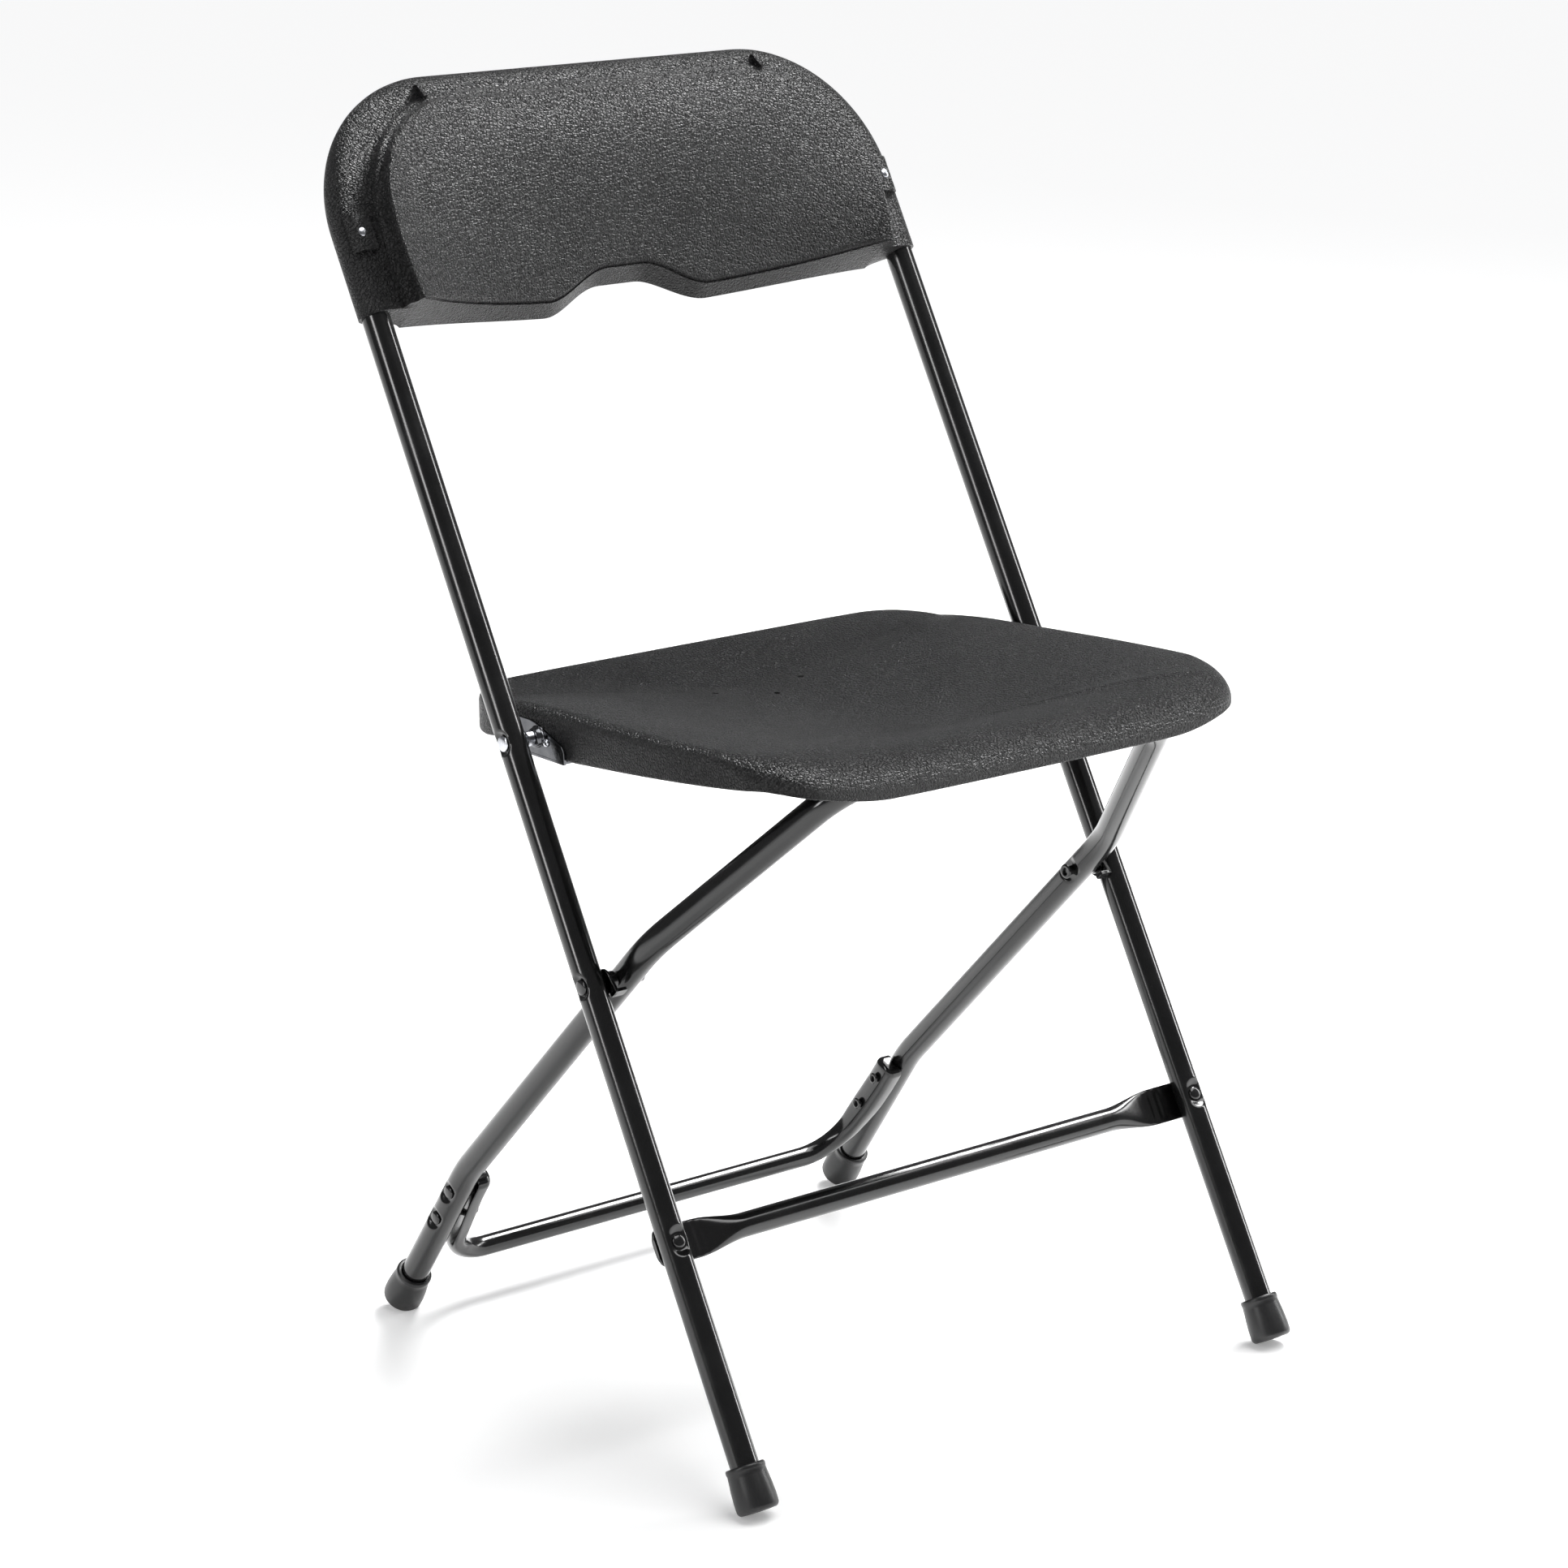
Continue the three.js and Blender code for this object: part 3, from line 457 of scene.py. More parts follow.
PAINT = frame_paint("frame_black_paint", 0.0035)
RIVET_PAINT = frame_paint("rivet_black", 0.005)
PLASTIC = grained_plastic("moulded_black_plastic", 0.0065, 430.0, 1.0)
ZINC = zinc_plate("zinc_bright", 0.6, 0.16, 0.3)
ZINC_DARK = zinc_plate("zinc_plate_sheet", 0.13, 0.1, 0.18)
FOOT = foot_plastic("foot_black_plastic")

# ------------------------------------------------------------------ front frame
front_spots = [
    on_front(side * front_x(s), s, 0) for _, side in SIDES for s in (STRETCHER_S, CROSS_S, SEAT_S)
]
front_path = Path(
    [
        on_front(-front_x(FOOT_S), FOOT_S, 0),
        on_front(-front_x(FRONT_TOP), FRONT_TOP, 0),
        on_front(front_x(FRONT_TOP), FRONT_TOP, 0),
        on_front(front_x(FOOT_S), FOOT_S, 0),
    ],
    [0, FRONT_CORNER_R, FRONT_CORNER_R, 0],
)
front_us = front_path.stations(6.0, front_spots)
front_tube = sweep(front_path, front_us, OUT_FRONT, round_section(TUBE_R), 56)
for _, side in SIDES:
    out = side * X_AXIS
    for s in (CROSS_S, SEAT_S):
        front_tube = press(front_tube, on_front(side * front_x(s), s, 0), out, 6.3, 5.4, 8.4)
    stretcher_joint = on_front(side * front_x(STRETCHER_S), STRETCHER_S, 0)
    front_tube = press(front_tube, stretcher_joint, OUT_FRONT, 6.0, 5.2, 10.5)
piece("front_tube", [grid(front_tube)], "front_frame", PAINT, ["front_frame_tube"])


RAIL_HALF = 218.2  # half length of the front stretcher
RAIL_TIP = 5.0  # length of its rounded tips


def stretcher_flat(x):
    """How far the rail is pressed flat at x, from 0 to 1."""
    return smooth(abs(x), 150, 189)


def front_stretcher_section(u, angles):
    """The rail's section: round in the middle, flat and creased at the ends."""
    x = u - RAIL_HALF
    flat = float(stretcher_flat(x))
    a, b = squashed(7.75, 12.0, 1.55, flat, angles)
    tip = math.sqrt(max(0.02, 1 - max(0.0, (abs(x) - (RAIL_HALF - RAIL_TIP)) / 5.1) ** 2))
    crease = 0.16 * flat * math.sin((abs(x) - 186) * 1.1) * math.exp(-(((abs(x) - 188) / 9) ** 2))
    return a * (0.45 + 0.55 * tip), b + crease * np.cos(2 * angles)


class Rail:
    """A straight rail along x whose depth follows its flattening."""

    def at(self, u):
        x = u - RAIL_HALF
        n = STRETCHER_N + 2.15 * float(stretcher_flat(x))
        return on_front(x, STRETCHER_S, n), X_AXIS


rail_ends = np.linspace(0, 75, 76)
rail_us = np.concatenate([rail_ends, np.linspace(79, 357.4, 60), rail_ends + 2 * RAIL_HALF - 75])
rail = sweep(Rail(), rail_us, UP_FRONT, front_stretcher_section, 48)
piece("front_rail", [grid(rail)], "front_frame", PAINT, ["front_stretcher"], sharp=50)


# ------------------------------------------------------------------ rivets
def dome(seat, radius, height, rim=0.35):
    """Profile of a domed head with a small upright rim."""
    low = [
        (seat, radius - 0.35),
        (seat + 0.12, radius - 0.08),
        (seat + rim, radius),
    ]
    arc = [
        (seat + rim + (height - rim) * math.sin(a), radius * math.cos(a) ** 0.8)
        for a in np.linspace(0.12, math.pi / 2 - 0.03, 9)
    ]
    return low + arc


def rolled_tail(start, radius, shank):
    """Profile of a tubular rivet's rolled end, hollow in the middle, ending at the shank."""
    hollow = radius * 0.46
    mouth = [(start - 0.2, 0.05), (start - 0.2, hollow * 0.94), (start - 1.1, hollow)]
    curl = [
        (
            start - 1.1 - 0.85 * math.sin(a),
            (radius + hollow) / 2 - (radius - hollow) / 2 * math.cos(a),
        )
        for a in np.linspace(0.2, math.pi - 0.2, 9)
    ]
    return mouth + curl + [(start - 0.9, radius), (start, radius - 0.5), (start, shank)]


def rivet(name, at, out, seat, grip, head, shank, tail, body, material):
    """A tubular rivet: domed head out, rolled tail in, seated at a distance from a point."""
    profile = rolled_tail(seat - grip, tail, shank) + [(seat, shank)] + dome(seat, head, 1.8)
    skin = turned(at, out, profile)
    piece(name + "_set", [skin], body, material, [name], sharp=44)


REAR_RIVETS = (("upper", 21.0, 27.6), ("lower", 48.0, 29.6))  # level, down the leg, grip
for word, side in SIDES:
    out = side * X_AXIS
    rivet(
        f"front_stretcher_rivet_{word}", on_front(side * front_x(STRETCHER_S), STRETCHER_S, 0),
        OUT_FRONT, 6.2, 18.8, 4.4, 2.5, 4.0, "front_frame", RIVET_PAINT,
    )
    rivet(
        f"leg_pivot_rivet_{word}", vec(side * front_x(CROSS_S), CROSS[1], CROSS[2]), out,
        6.5, 42.9, 4.9, 3.0, 4.8, "front_frame", RIVET_PAINT,
    )
    rivet(
        f"seat_pivot_rivet_{word}", vec(side * front_x(SEAT_S), SEAT_PIVOT[1], SEAT_PIVOT[2]), out,
        6.5, 34.9, 5.1, 3.0, 4.8, "front_frame", ZINC,
    )
    for level, d, grip in REAR_RIVETS:
        rivet(
            f"rear_stretcher_rivet_{word}_{level}", on_foot(side * (REAR_X + 1), d), out,
            6.5, grip, 4.4, 2.3, 3.9, "rear_frame", RIVET_PAINT,
        )


# ------------------------------------------------------------------ feet
def foot(name, end, up, neck, sole, length, body):
    """Push-on cap: rounded sole worn flat on the floor, slight waist, collar at the top."""
    under = [(-4.8, 0.05), (-4.7, sole - 6.5), (-4.5, sole - 4.4)]
    edge = [
        (-1.2 - 3.3 * math.cos(a), sole - 3.3 + 3.2 * math.sin(a)) for a in np.linspace(0.2, 1.5, 9)
    ]
    waist = [
        (1.5, sole - 0.02),
        (4.0, sole),
        (length * 0.45, lerp(sole, neck, 0.32)),
        (length - 6.5, lerp(sole, neck, 0.86)),
        (length - 3.6, neck - 0.05),
    ]
    collar = [
        (length - 3.1, neck + 0.25),
        (length - 1.4, neck + 0.3),
        (length - 0.5, neck + 0.05),
        (length, neck - 0.6),
    ]
    mouth = [(length, TUBE_R + 0.5), (length - 3.0, TUBE_R + 0.2), (length - 3.5, 0.05)]
    verts, faces = turned(end, up, under + edge + waist + collar + mouth, sides=64)
    verts[:, 2] = np.maximum(verts[:, 2], 0.0)
    piece(name + "_cap", [(verts, faces)], body, FOOT, [name], sharp=42)


FOOT_SOLE = 13.2
FOOT_LENGTH = 24.0
for word, side in SIDES:
    front_end = on_front(side * front_x(FOOT_S), FOOT_S - GAP, 0)
    rear_end = on_foot(side * REAR_FOOT_X, REAR_END + GAP)
    foot(f"front_foot_{word}", front_end, UP_FRONT, 12.0, FOOT_SOLE, FOOT_LENGTH, "front_frame")
    foot(f"rear_foot_{word}", rear_end, -DOWN_FOOT, 11.6, FOOT_SOLE, FOOT_LENGTH, "rear_frame")


# ------------------------------------------------------------------ rear frame
def rear_corners(side):
    """Corners of one rear leg, from its foot to the crossbar."""
    taper = REAR_X - REAR_TAPER * (CROSSBAR_REACH - REAR_TOE_IN)
    return [
        on_foot(side * REAR_FOOT_X, REAR_END),
        on_rear(side * (REAR_X + 0.6), -REAR_BEND),
        on_rear(side * REAR_X, REAR_TOE_IN),
        on_rear(side * taper, CROSSBAR_REACH),
    ]


rear_spots = [vec(side * REAR_X, CROSS[1], CROSS[2]) for _, side in SIDES]
rear_spots += [on_foot(side * (REAR_X + 1), d) for _, side in SIDES for _, d, _ in REAR_RIVETS]
rear_path = Path(rear_corners(-1) + rear_corners(1)[::-1], [0, 110, 90, 44, 44, 90, 110, 0])
rear_us = rear_path.stations(4.0, rear_spots)
rear_tube = sweep(rear_path, rear_us, BEHIND_REAR, round_section(TUBE_R), 56)
for _, side in SIDES:
    out = side * X_AXIS
    rear_tube = press(rear_tube, vec(side * REAR_X, CROSS[1], CROSS[2]), -out, 6.2, 5.6, 9.6)
    for _, d, _ in REAR_RIVETS:
        rear_tube = press(rear_tube, on_foot(side * (REAR_X + 1), d), out, 6.3, 5.2, 8.8)
piece("rear_tube", [grid(rear_tube)], "rear_frame", PAINT, ["rear_frame_tube"])

ENDS_X = REAR_X + 0.4 - TUBE_R - 0.3 - 5.2  # the flat ends lie along the legs' inner faces
RUN_D = 99.5  # the straight run across, down the leg
U_ARM = ((0.0, 7.5), (0.0, 26), (2.6, 60), (6, RUN_D))  # inward of ENDS_X, down the leg
u_path = Path(
    [on_foot(-ENDS_X + inward, d) for inward, d in U_ARM]
    + [on_foot(ENDS_X - inward, d) for inward, d in U_ARM[::-1]],
    [0, 60, 60, 33, 33, 60, 60, 0],
)


def u_section(u, angles):
    """The rear stretcher's section: round in the run, pressed against the legs at the ends."""
    along = min(u, u_path.length - u)
    flat = 1 - float(smooth(along, 34, 92))
    wide, thin = squashed(6.9, 9.4, 5.0, flat, angles)
    tip = math.sqrt(max(0.03, 1 - max(0.0, (5.0 - along) / 5.1) ** 2))
    wrap = flat * (12.0 - np.sqrt(12.0**2 - wide**2))
    return wide * (0.35 + 0.65 * tip), thin * (0.5 + 0.5 * tip) + wrap * np.where(thin > 0, 1.0, 0.6)


u_middle = np.linspace(8, u_path.length - 8, 240)
u_us = np.concatenate([
    np.linspace(0, 8, 14)[:-1],
    u_middle,
    np.linspace(u_path.length - 8, u_path.length, 14)[1:],
])
u_loops = sweep(u_path, u_us, np.cross(DOWN_FOOT, X_AXIS), u_section, 48)
piece("rear_rail", [grid(u_loops)], "rear_frame", PAINT, ["rear_stretcher"], sharp=50)

# ------------------------------------------------------------------ leg crossing
for word, side in SIDES:
    inward = -side * X_AXIS
    start = vec(side * (front_x(CROSS_S) - TUBE_R - GAP), CROSS[1], CROSS[2])
    washer = turned(start, inward, [
        (0, 0.05), (0, 7.8), (0.3, 8.2), (1.9, 8.2), (2.2, 7.9), (2.2, 6.1), (7.5, 6.0), (7.5, 0.05),
    ])
    under = -BEHIND_REAR
    tab_outline = rounded([(0, 0), (9, 0), (9, 7), (0, 7)], 1.8)
    base = start + UP_REAR + under * (TUBE_R + GAP)
    tab = prism([base + inward * a + UP_REAR * b for a, b in tab_outline], under * 2.2)
    web_outline = rounded([(0, 0), (11.5, 0), (11.5, 7), (0, 7)], 1.2)
    web = prism([start + UP_REAR + under * a + UP_REAR * b for a, b in web_outline], inward * 2.2)
    piece(
        f"leg_stop_{word}_tab", [washer, tab, web], "front_frame", PAINT,
        [f"leg_stop_{word}"], bevel=0.35,
    )

# ------------------------------------------------------------------ seat
SEAT_OUTLINE = [
    (0, -214), (60, -213.6), (105, -212), (146, -208.5), (168, -201), (182, -188), (189.5, -172),
    (193, -150), (194.6, -125), (195, -98), (194, -60), (191.4, -20), (189.2, 20), (188.2, 55),
    (186.8, 84), (181.6, 106), (169, 123.4), (151, 131.8), (125, 133.8), (60, 134.4), (0, 134.5),
]
SEAT_POINTS = 420  # points of the smooth outline
SIDE_TURN = 178  # half width over which the front edge is raised


def closed_curve(points, count):
    """Centripetal curve through a closed list of points, evenly spaced."""
    pts = np.array(points, float)
    n = len(pts)
    dense = []
    for i in range(n):
        p = [pts[(i + k - 1) % n] for k in range(4)]
        t = [0.0]
        for a, b in zip(p, p[1:]):
            t.append(t[-1] + np.linalg.norm(b - a) ** 0.5)
        for v in np.linspace(t[1], t[2], 24, endpoint=False):
            a = [((t[k + 1] - v) * p[k] + (v - t[k]) * p[k + 1]) / (t[k + 1] - t[k]) for k in range(3)]
            b = [((t[k + 2] - v) * a[k] + (v - t[k]) * a[k + 1]) / (t[k + 2] - t[k]) for k in range(2)]
            dense.append(((t[2] - v) * b[0] + (v - t[1]) * b[1]) / (t[2] - t[1]))
    dense = np.array(dense + [dense[0]])
    along = np.concatenate([[0], np.cumsum(np.linalg.norm(np.diff(dense, axis=0), axis=1))])
    at = np.linspace(0, along[-1], count, endpoint=False)
    return np.stack([np.interp(at, along, dense[:, c]) for c in range(2)], axis=1)


seat_loop = closed_curve(SEAT_OUTLINE + [(-x, y) for x, y in SEAT_OUTLINE[-2:0:-1]], SEAT_POINTS)
loop_step = np.roll(seat_loop, -1, axis=0) - np.roll(seat_loop, 1, axis=0)
seat_inward = np.stack([-loop_step[:, 1], loop_step[:, 0]], axis=1)
seat_inward /= np.linalg.norm(seat_inward, axis=1)[:, None]
PX, PY = seat_loop[:, 0], seat_loop[:, 1]


def crest_height(x, y):
    """Height of the seat's crest along its outline."""
    side = np.minimum(455.7, 448.3 - 0.052 * y)
    rear = side - 0.0008 * np.maximum(0, y - 20) ** 2
    front = (449.6 - side) * (1 - np.minimum(1, np.abs(x) / SIDE_TURN) ** 3)
    return np.maximum(439.8, rear) + front * smooth(-y, 120, 196)


def apron_height(x, y):
    """Height of the lower edge of the seat's apron along its outline."""
    side = 418.8 + 0.111 * np.maximum(0, -y - 4)
    rear = lerp(side, 415.5, smooth(y, 72, 100))
    return rear - 13.7 * smooth(-y, 178, 206) * (1 - 0.75 * smooth(np.abs(x), 110, 195))


FRONTNESS = smooth(-PY, 140, 205)
CREST = crest_height(PX, PY)
APRON = apron_height(PX, PY)
CREST_IN = lerp(7, 26, FRONTNESS)  # how far the crest lies inside the outline
ROLL_TALL = lerp(7, 19, FRONTNESS)  # how far the roll drops
SPINE = -18 + 80 * np.tanh((PY + 18) / 80)  # where each point's ray ends on the middle line
DISH = 424.6 + 0.0000095 * np.abs(SPINE - 46) ** 2.72


def seat_ring(inset, z):
    """The outline drawn in by an inset, at a height."""
    xy = seat_loop + seat_inward * np.broadcast_to(inset, PX.shape)[:, None]
    return np.stack([xy[:, 0], xy[:, 1] + SEAT_RIM_Y, np.broadcast_to(z, PX.shape)], axis=1)


def dish_ring(t, drop):
    """A ring of the seat's top, from the crest at t = 0 to the middle line at t = 1."""
    ring = seat_ring(CREST_IN + drop, 0)
    ring[:, 0] = lerp(ring[:, 0], 0, t)
    ring[:, 1] = lerp(ring[:, 1], SPINE + SEAT_RIM_Y, t)
    ring[:, 2] = lerp(CREST, DISH, smooth(t)) - drop
    return ring


def roll_ring(deg, drop):
    """A ring of the rounded edge outside the crest."""
    a = math.radians(deg)
    inset = CREST_IN * (1 - math.sin(a)) + drop * math.sin(a)
    return seat_ring(inset, CREST - ROLL_TALL * (1 - math.cos(a)) - drop * math.cos(a))


dish_steps = np.linspace(1.0, 0, 46)
seat_rings = [dish_ring(t, 0) for t in dish_steps]
seat_rings += [roll_ring(d, 0) for d in (9, 18, 27, 36, 45, 54, 63, 72, 81, 90)]
low_crest = CREST - ROLL_TALL
seat_rings += [seat_ring(0.0, lerp(low_crest, APRON + 1.4, f)) for f in (0.2, 0.4, 0.6, 0.8, 1.0)]
seat_rings += [seat_ring(0.25, APRON + 0.5), seat_ring(0.8, APRON + 0.08), seat_ring(1.6, APRON)]
seat_rings += [seat_ring(2.5, APRON + 0.2), seat_ring(3.0, APRON + 1.0)]
seat_rings += [seat_ring(3.2, lerp(APRON + 1.0, low_crest, f)) for f in (0.4, 0.8)]
seat_rings += [roll_ring(d, SEAT_WALL) for d in (90, 67, 45, 22)]
seat_rings += [dish_ring(t, SEAT_WALL) for t in dish_steps[::-3]]

seat_skin = grid(np.array(seat_rings) + vec(0, 0, BASE_Z), caps=False)
seat = piece("seat_pan", [seat_skin], "seat", PLASTIC, ["seat_shell"], sharp=60)

DRAIN_HOLES = ((-35, 41), (0, 22), (35, 41))
DRAIN_R = 2.25
for i, (x, y) in enumerate(DRAIN_HOLES):
    v, f = turned(vec(x, y, 400), vec(0, 0, 1), [(0, DRAIN_R), (60, DRAIN_R)], sides=32)
    mesh = bpy.data.meshes.new(f"drain_{i}")
    mesh.from_pydata((v * MM).tolist(), [], f)
    drill = bpy.data.objects.new(f"drain_{i}", mesh)
    bpy.context.scene.collection.objects.link(drill)
    cut = seat.modifiers.new("drain", "BOOLEAN")
    cut.object = drill
    cut.solver = "EXACT"
    bpy.context.view_layer.objects.active = seat
    bpy.ops.object.modifier_apply(modifier=cut.name)
    bpy.data.objects.remove(drill)

# ------------------------------------------------------------------ seat hinge
PLATE_IN = 190.6  # inner face of the plate, across
PLATE_THICK = 1.9
PLATE_OUTLINE = [
    (41, 6), (37, 9.4), (8, 9.4), (3, 8.6), (-24.6, -1.3), (-27, -4.4), (-27.6, -12.6), (43, -12.6),
]
LIP_SECTION = (
    (172, -12.6), (190.6, -12.6), (192.0, -12.1), (192.5, -11.0), (192.5, -10.4), (190.8, -10.7),
    (172, -10.7),
)
LIP_FRONT = -25
LIP_LENGTH = 64
BOSS_PROFILE = [
    (191.5, 0.05), (191.5, 7.6), (192.5, 7.5), (193.1, 6.7), (195.6, 5.9), (196.5, 5.3), (196.8, 4.6),
    (196.8, 0.05),
]
RIVET_OFF = (-9.5, -1.6)  # small rivet, back and up from the hinge's axis
BUSH_R = 4.8
for word, side in SIDES:
    out = side * X_AXIS
    hub = vec(0, SEAT_PIVOT[1], SEAT_PIVOT[2])
    outline = [hub + out * PLATE_IN + vec(0, y, z) for y, z in rounded(PLATE_OUTLINE, 1.6)]
    plate = prism(outline, out * PLATE_THICK)
    lip_outline = [hub + out * a + vec(0, LIP_FRONT, z) for a, z in LIP_SECTION]
    lip = prism(lip_outline, vec(0, LIP_LENGTH, 0))
    boss = turned(hub, out, BOSS_PROFILE)
    piece(
        f"hinge_plate_{word}", [plate, lip, boss], "seat", ZINC_DARK,
        [f"seat_hinge_plate_{word}"], bevel=0.35,
    )
    spot = hub + vec(0, *RIVET_OFF)
    rivet(
        f"hinge_plate_rivet_{word}", spot, out, 192.55, 8.75, 2.6, 1.5, 2.6,
        "seat", ZINC,
    )
    bush_end = front_x(SEAT_S) - 9.3
    bush = turned(hub, out, [
        (197.1, 0.05),
        (197.1, BUSH_R - 0.3),
        (197.4, BUSH_R),
        (bush_end - 0.3, BUSH_R),
        (bush_end, BUSH_R - 0.3),
        (bush_end, 0.05),
    ])
    washer_node = f"seat_pivot_washer_{word}"
    piece(f"seat_bush_{word}", [bush], "front_frame", ZINC, [washer_node])

# ------------------------------------------------------------------ backrest
PANEL_MIDDLE = 846  # height along the leg where the panel's faces close


def lower_edge(x):
    """The lower edge: straight at both ends, arched in the middle for a hand."""
    return BACK_BOTTOM + 18 * (1 - smooth(np.abs(x), 14, 66))


def panel_front(x, s):
    """Front of the padded panel, forward of the tube's plane: scooped at the lower middle."""
    rise = np.clip((s - BACK_BOTTOM) / 128, 0, 1)
    middle = lerp(-29.0, 16.0, smooth(rise, -0.25, 0.95))
    edge = lerp(28.5, 26.5, rise)
    return lerp(middle, edge, np.minimum(1, np.abs(x) / 192) ** 2.4)


def panel_back(x, s):
    """Back of the moulding: bulges behind the tube, most at the lower middle."""
    rise = np.clip((s - BACK_BOTTOM) / 150, 0, 1)
    u = np.minimum(1, np.abs(x) / 205)
    return -BACK_RIM - lerp(22.5, 4.0, smooth(rise)) * (1 - smooth(u, 0.12, 1))


def back_stations():
    """Outline points (x, s), inward direction, the panel's inset, and whether on the lower edge."""
    low = BACK_TOP - BACK_CORNER_R
    side_x = BACK_HALF - BACK_CORNER_R
    top_in = 22.6
    half = []
    for s in np.linspace(BACK_BOTTOM + 5, low, 30, endpoint=False):
        half.append((-BACK_HALF, s, 1, 0, np.interp(s, [773, 790, 815, 834], [33, 30, 28.6, 30.5])))
    for a in np.linspace(0, math.pi / 2, 60, endpoint=False):
        c, d = math.cos(a), math.sin(a)
        inset = np.interp(math.degrees(a), [0, 30, 55, 90], [30.5, 31, 29, top_in])
        half.append((-side_x - BACK_CORNER_R * c, low + BACK_CORNER_R * d, c, -d, inset))
    for x in np.linspace(-side_x, 0, 30, endpoint=False):
        half.append((x, BACK_TOP, 0, -1, top_in))
    other_half = [(-x, s, -nx, ns, i) for x, s, nx, ns, i in half[::-1]]
    full = half + [(0, BACK_TOP, 0, -1, top_in)] + other_half
    bottom = [(x, lower_edge(x), 0, 1, 0.0) for x in np.linspace(188, -188, 151)]
    flags = [False] * len(full) + [True] * len(bottom)
    return np.array(full + bottom, float), np.array(flags)


ST, LOW = back_stations()
SX, SS, NX, NS, PANEL_IN = ST.T


def back_ring(inset, side_depth, order, lift=0.0, sink=0.0):
    """A ring of the backrest.

    Off the lower edge its depth is side_depth(x, s). On it, order goes from the back at 0 to the
    front at 1, lift raises the ring and sink sets it back.
    """
    d = np.where(LOW, 0.0, inset)
    x = np.where(LOW, np.clip(SX, -(BACK_HALF - inset), BACK_HALF - inset), SX + NX * d)
    s = np.where(LOW, SS + 7 * order + lift, np.maximum(SS, BACK_BOTTOM + 5) + NS * d)
    n_low = lerp(panel_back(x, s), panel_front(x, s), order) - sink
    n = np.where(LOW, n_low, side_depth(x, s))
    return on_plane(x, s, n)


def on_plane(x, s, n):
    """on_front for arrays of points."""
    x, s, n = np.broadcast_arrays(x, s, n)
    base = np.zeros(x.shape + (3,)) + vec(0, FRONT_FOOT_Y, BASE_Z)
    return base + x[..., None] * X_AXIS + s[..., None] * UP_FRONT + n[..., None] * OUT_FRONT


def back_fill(ring_inset, order, surface, lift, steps):
    """Rings that close a face toward its middle."""
    inset = np.where(LOW, 0.0, ring_inset)
    half = BACK_HALF - ring_inset
    x0 = np.where(LOW, np.clip(SX, -half, half), SX + NX * inset)
    s0 = np.where(LOW, SS + 7 * order + lift, np.maximum(SS, BACK_BOTTOM + 5) + NS * inset)
    rings = []
    for t in steps:
        x, s = lerp(x0, 0, t), lerp(s0, PANEL_MIDDLE, t)
        rings.append(on_plane(x, s, surface(x, s)))
    return rings


rings = back_fill(PANEL_IN + 1.6, 1.0, panel_front, 3.2, np.linspace(0.985, 0.02, 40))
front_profile = [
    # inset from the panel's edge, fraction from rim to panel face, order, lift, sink
    (1.6, 1.0, 1.0, 3.2, 0.0),
    (0.7, 0.985, 1.0, 1.9, 0.15),
    (0.0, 0.94, 1.0, 1.0, 0.6),
    (-0.7, 0.86, 0.99, 0.4, 1.3),
    (-1.2, 0.74, 0.98, 0.1, 2.4),
    (-1.6, 0.6, 0.95, 0.0, 2.0),
    (-2.1, 0.52, 0.92, 0.0, 1.0),
    (-3.1, 0.47, 0.88, 0.0, 0.0),
    (-4.4, 0.455, 0.84, 0.0, 0.0),
    (-5.3, 0.42, 0.8, 0.0, 0.0),
    (-5.9, 0.33, 0.76, 0.0, 0.0),
    (-6.4, 0.2, 0.72, 0.0, 0.0),
    (-7.0, 0.08, 0.68, 0.0, 0.0),
    (-8.2, 0.015, 0.64, 0.0, 0.0),
    (-9.6, 0.0, 0.6, 0.0, 0.0),
]


def edge_depth(share):
    """Depth between the rim, at share 0, and the panel's face, at share 1."""
    return lambda x, s: lerp(BACK_RIM, np.maximum(panel_front(x, s), BACK_RIM + 2), share)


for off, share, order, lift, sink in front_profile:
    rings.append(back_ring(PANEL_IN + off, edge_depth(share), order, lift, sink))
rim_angles = np.radians(np.arange(90, -91, -12))
rim_order = np.linspace(0.56, 0.12, len(rim_angles))
for a, order in zip(rim_angles, rim_order):
    depth = BACK_RIM * math.sin(a)
    rings.append(back_ring(BACK_RIM * (1 - math.cos(a)), lambda x, s, depth=depth: depth + 0 * x, order))
for off, order in ((19, 0.08), (24, 0.04), (29, 0.0)):
    rings.append(back_ring(off, lambda x, s: -BACK_RIM + 0 * x, order))
rings += back_fill(29 + 0 * SX, 0.0, panel_back, 1.5, np.linspace(0.03, 0.985, 34))
back_skin = grid(np.array(rings))

PAD_SECTION = [(-8.0, 8.4), (-8.0, 14.2), (3.8, 14.2), (8.2, 9.6), (8.6, 6.0)]  # screw pad: across, out
FIN_SHAPE = ((918.5, 11), (917.5, 13.5), (908, 18), (904, 11))  # gusset fin: along the leg, out
FIN_X = 134.8
FIN_THICK = 2.6
extras = []
for _, side in SIDES:
    pad = [on_front(side * (SCREW_X + a), SCREW_S - 12, n) for a, n in rounded(PAD_SECTION, 0.5)]
    extras.append(prism(pad, UP_FRONT * 24.4))
    fin = [on_front(side * FIN_X - FIN_THICK / 2, s, n) for s, n in FIN_SHAPE]
    extras.append(prism(fin, X_AXIS * FIN_THICK))
piece(
    "backrest_moulding", [back_skin] + extras, "front_frame", PLASTIC,
    ["backrest_shell"], sharp=48,
)

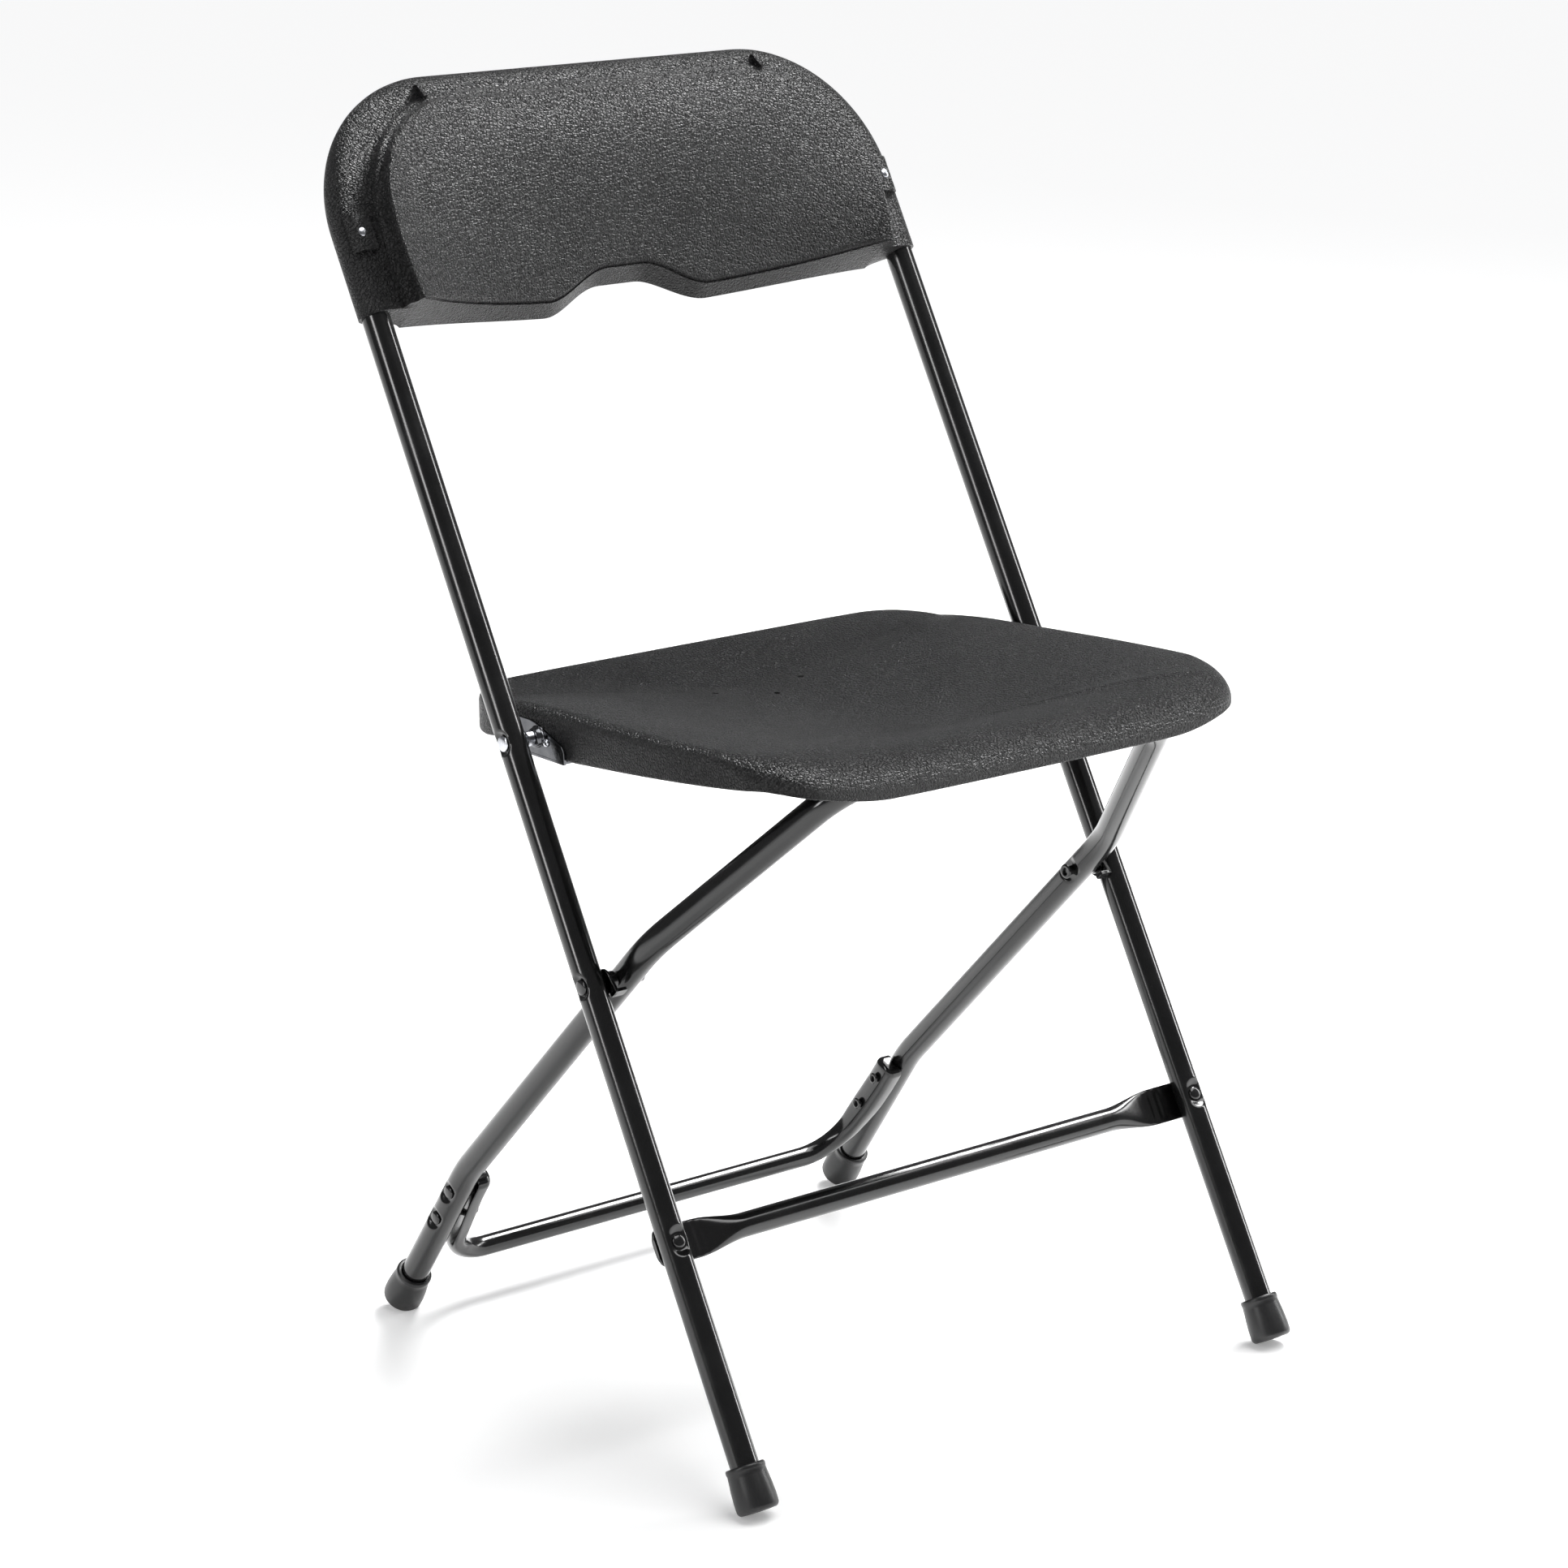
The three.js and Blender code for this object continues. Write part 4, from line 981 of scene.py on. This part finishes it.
for word, side in SIDES:
    at = on_front(side * SCREW_X, SCREW_S, 0)
    profile = [(0, 0.05), (0, 2.0), (12.6, 2.0), (12.6, 3.3)] + dome(12.6, 3.5, 2.4)[1:]
    piece(
        f"screw_{word}", [turned(at, OUT_FRONT, profile)], "front_frame", ZINC,
        [f"backrest_screw_{word}"], sharp=44,
    )

# ------------------------------------------------------------------ floor, light and camera
bpy.ops.mesh.primitive_plane_add(size=60, location=(0, 0, 0))
floor = bpy.context.object
floor.name = "studio_floor"
floor_look = Nodes("floor_pale")
floor.data.materials.append(floor_look.set(
    Base_Color=rgb(0.86, 0.86, 0.86), Roughness=0.6, Specular_IOR_Level=0.2,
    Emission_Color=rgb(1.0, 1.0, 1.0), Emission_Strength=0.26,
    Normal=floor_look.bump(floor_look.noise(40, 3.0), 0.02, 0.001),
))

world = bpy.data.worlds.new("studio")
bpy.context.scene.world = world
bpy.context.scene.view_settings.view_transform = "Standard"
world.use_nodes = True
world.node_tree.nodes["Background"].inputs["Color"].default_value = rgb(0.95, 0.96, 0.98)
world.node_tree.nodes["Background"].inputs["Strength"].default_value = 0.16


def softbox(name, place, target, size, watts):
    light = bpy.data.lights.new(name, "AREA")
    light.shape = "RECTANGLE"
    light.size, light.size_y = size
    light.energy = watts
    obj = bpy.data.objects.new(name, light)
    bpy.context.scene.collection.objects.link(obj)
    obj.location = place
    aim = np.array(target) - np.array(place)
    obj.rotation_euler = (math.atan2(math.hypot(aim[0], aim[1]), -aim[2]), 0, math.atan2(-aim[0], aim[1]))


softbox("key_left", (-2.6, -0.3, 1.6), (0, 0, 0.45), (0.5, 2.0), 26)
softbox("key_right", (2.8, -1.0, 1.4), (0, 0, 0.5), (0.4, 2.2), 34)
softbox("over_right", (1.7, 0.45, 2.5), (0, 0, 0.5), (1.3, 0.8), 110)
sun = bpy.data.lights.new("sky_panel", "SUN")
sun.energy = 2.3
sun.angle = math.radians(50)
sun_object = bpy.data.objects.new("sky_panel", sun)
bpy.context.scene.collection.objects.link(sun_object)
sun_object.rotation_euler = (math.radians(12), math.radians(14), 0)

camera_data = bpy.data.cameras.new("camera")
camera_data.lens = 104.46
camera_data.sensor_width = 36.0
camera = bpy.data.objects.new("camera", camera_data)
bpy.context.scene.collection.objects.link(camera)
camera.location = (-1.7554, -2.15385 + (FRONT_FOOT_Y + 215.82) * MM, 1.13973 + BASE_Z * MM)
camera.rotation_euler = (math.radians(74.562), 0, math.radians(-38.796))
bpy.context.scene.camera = camera
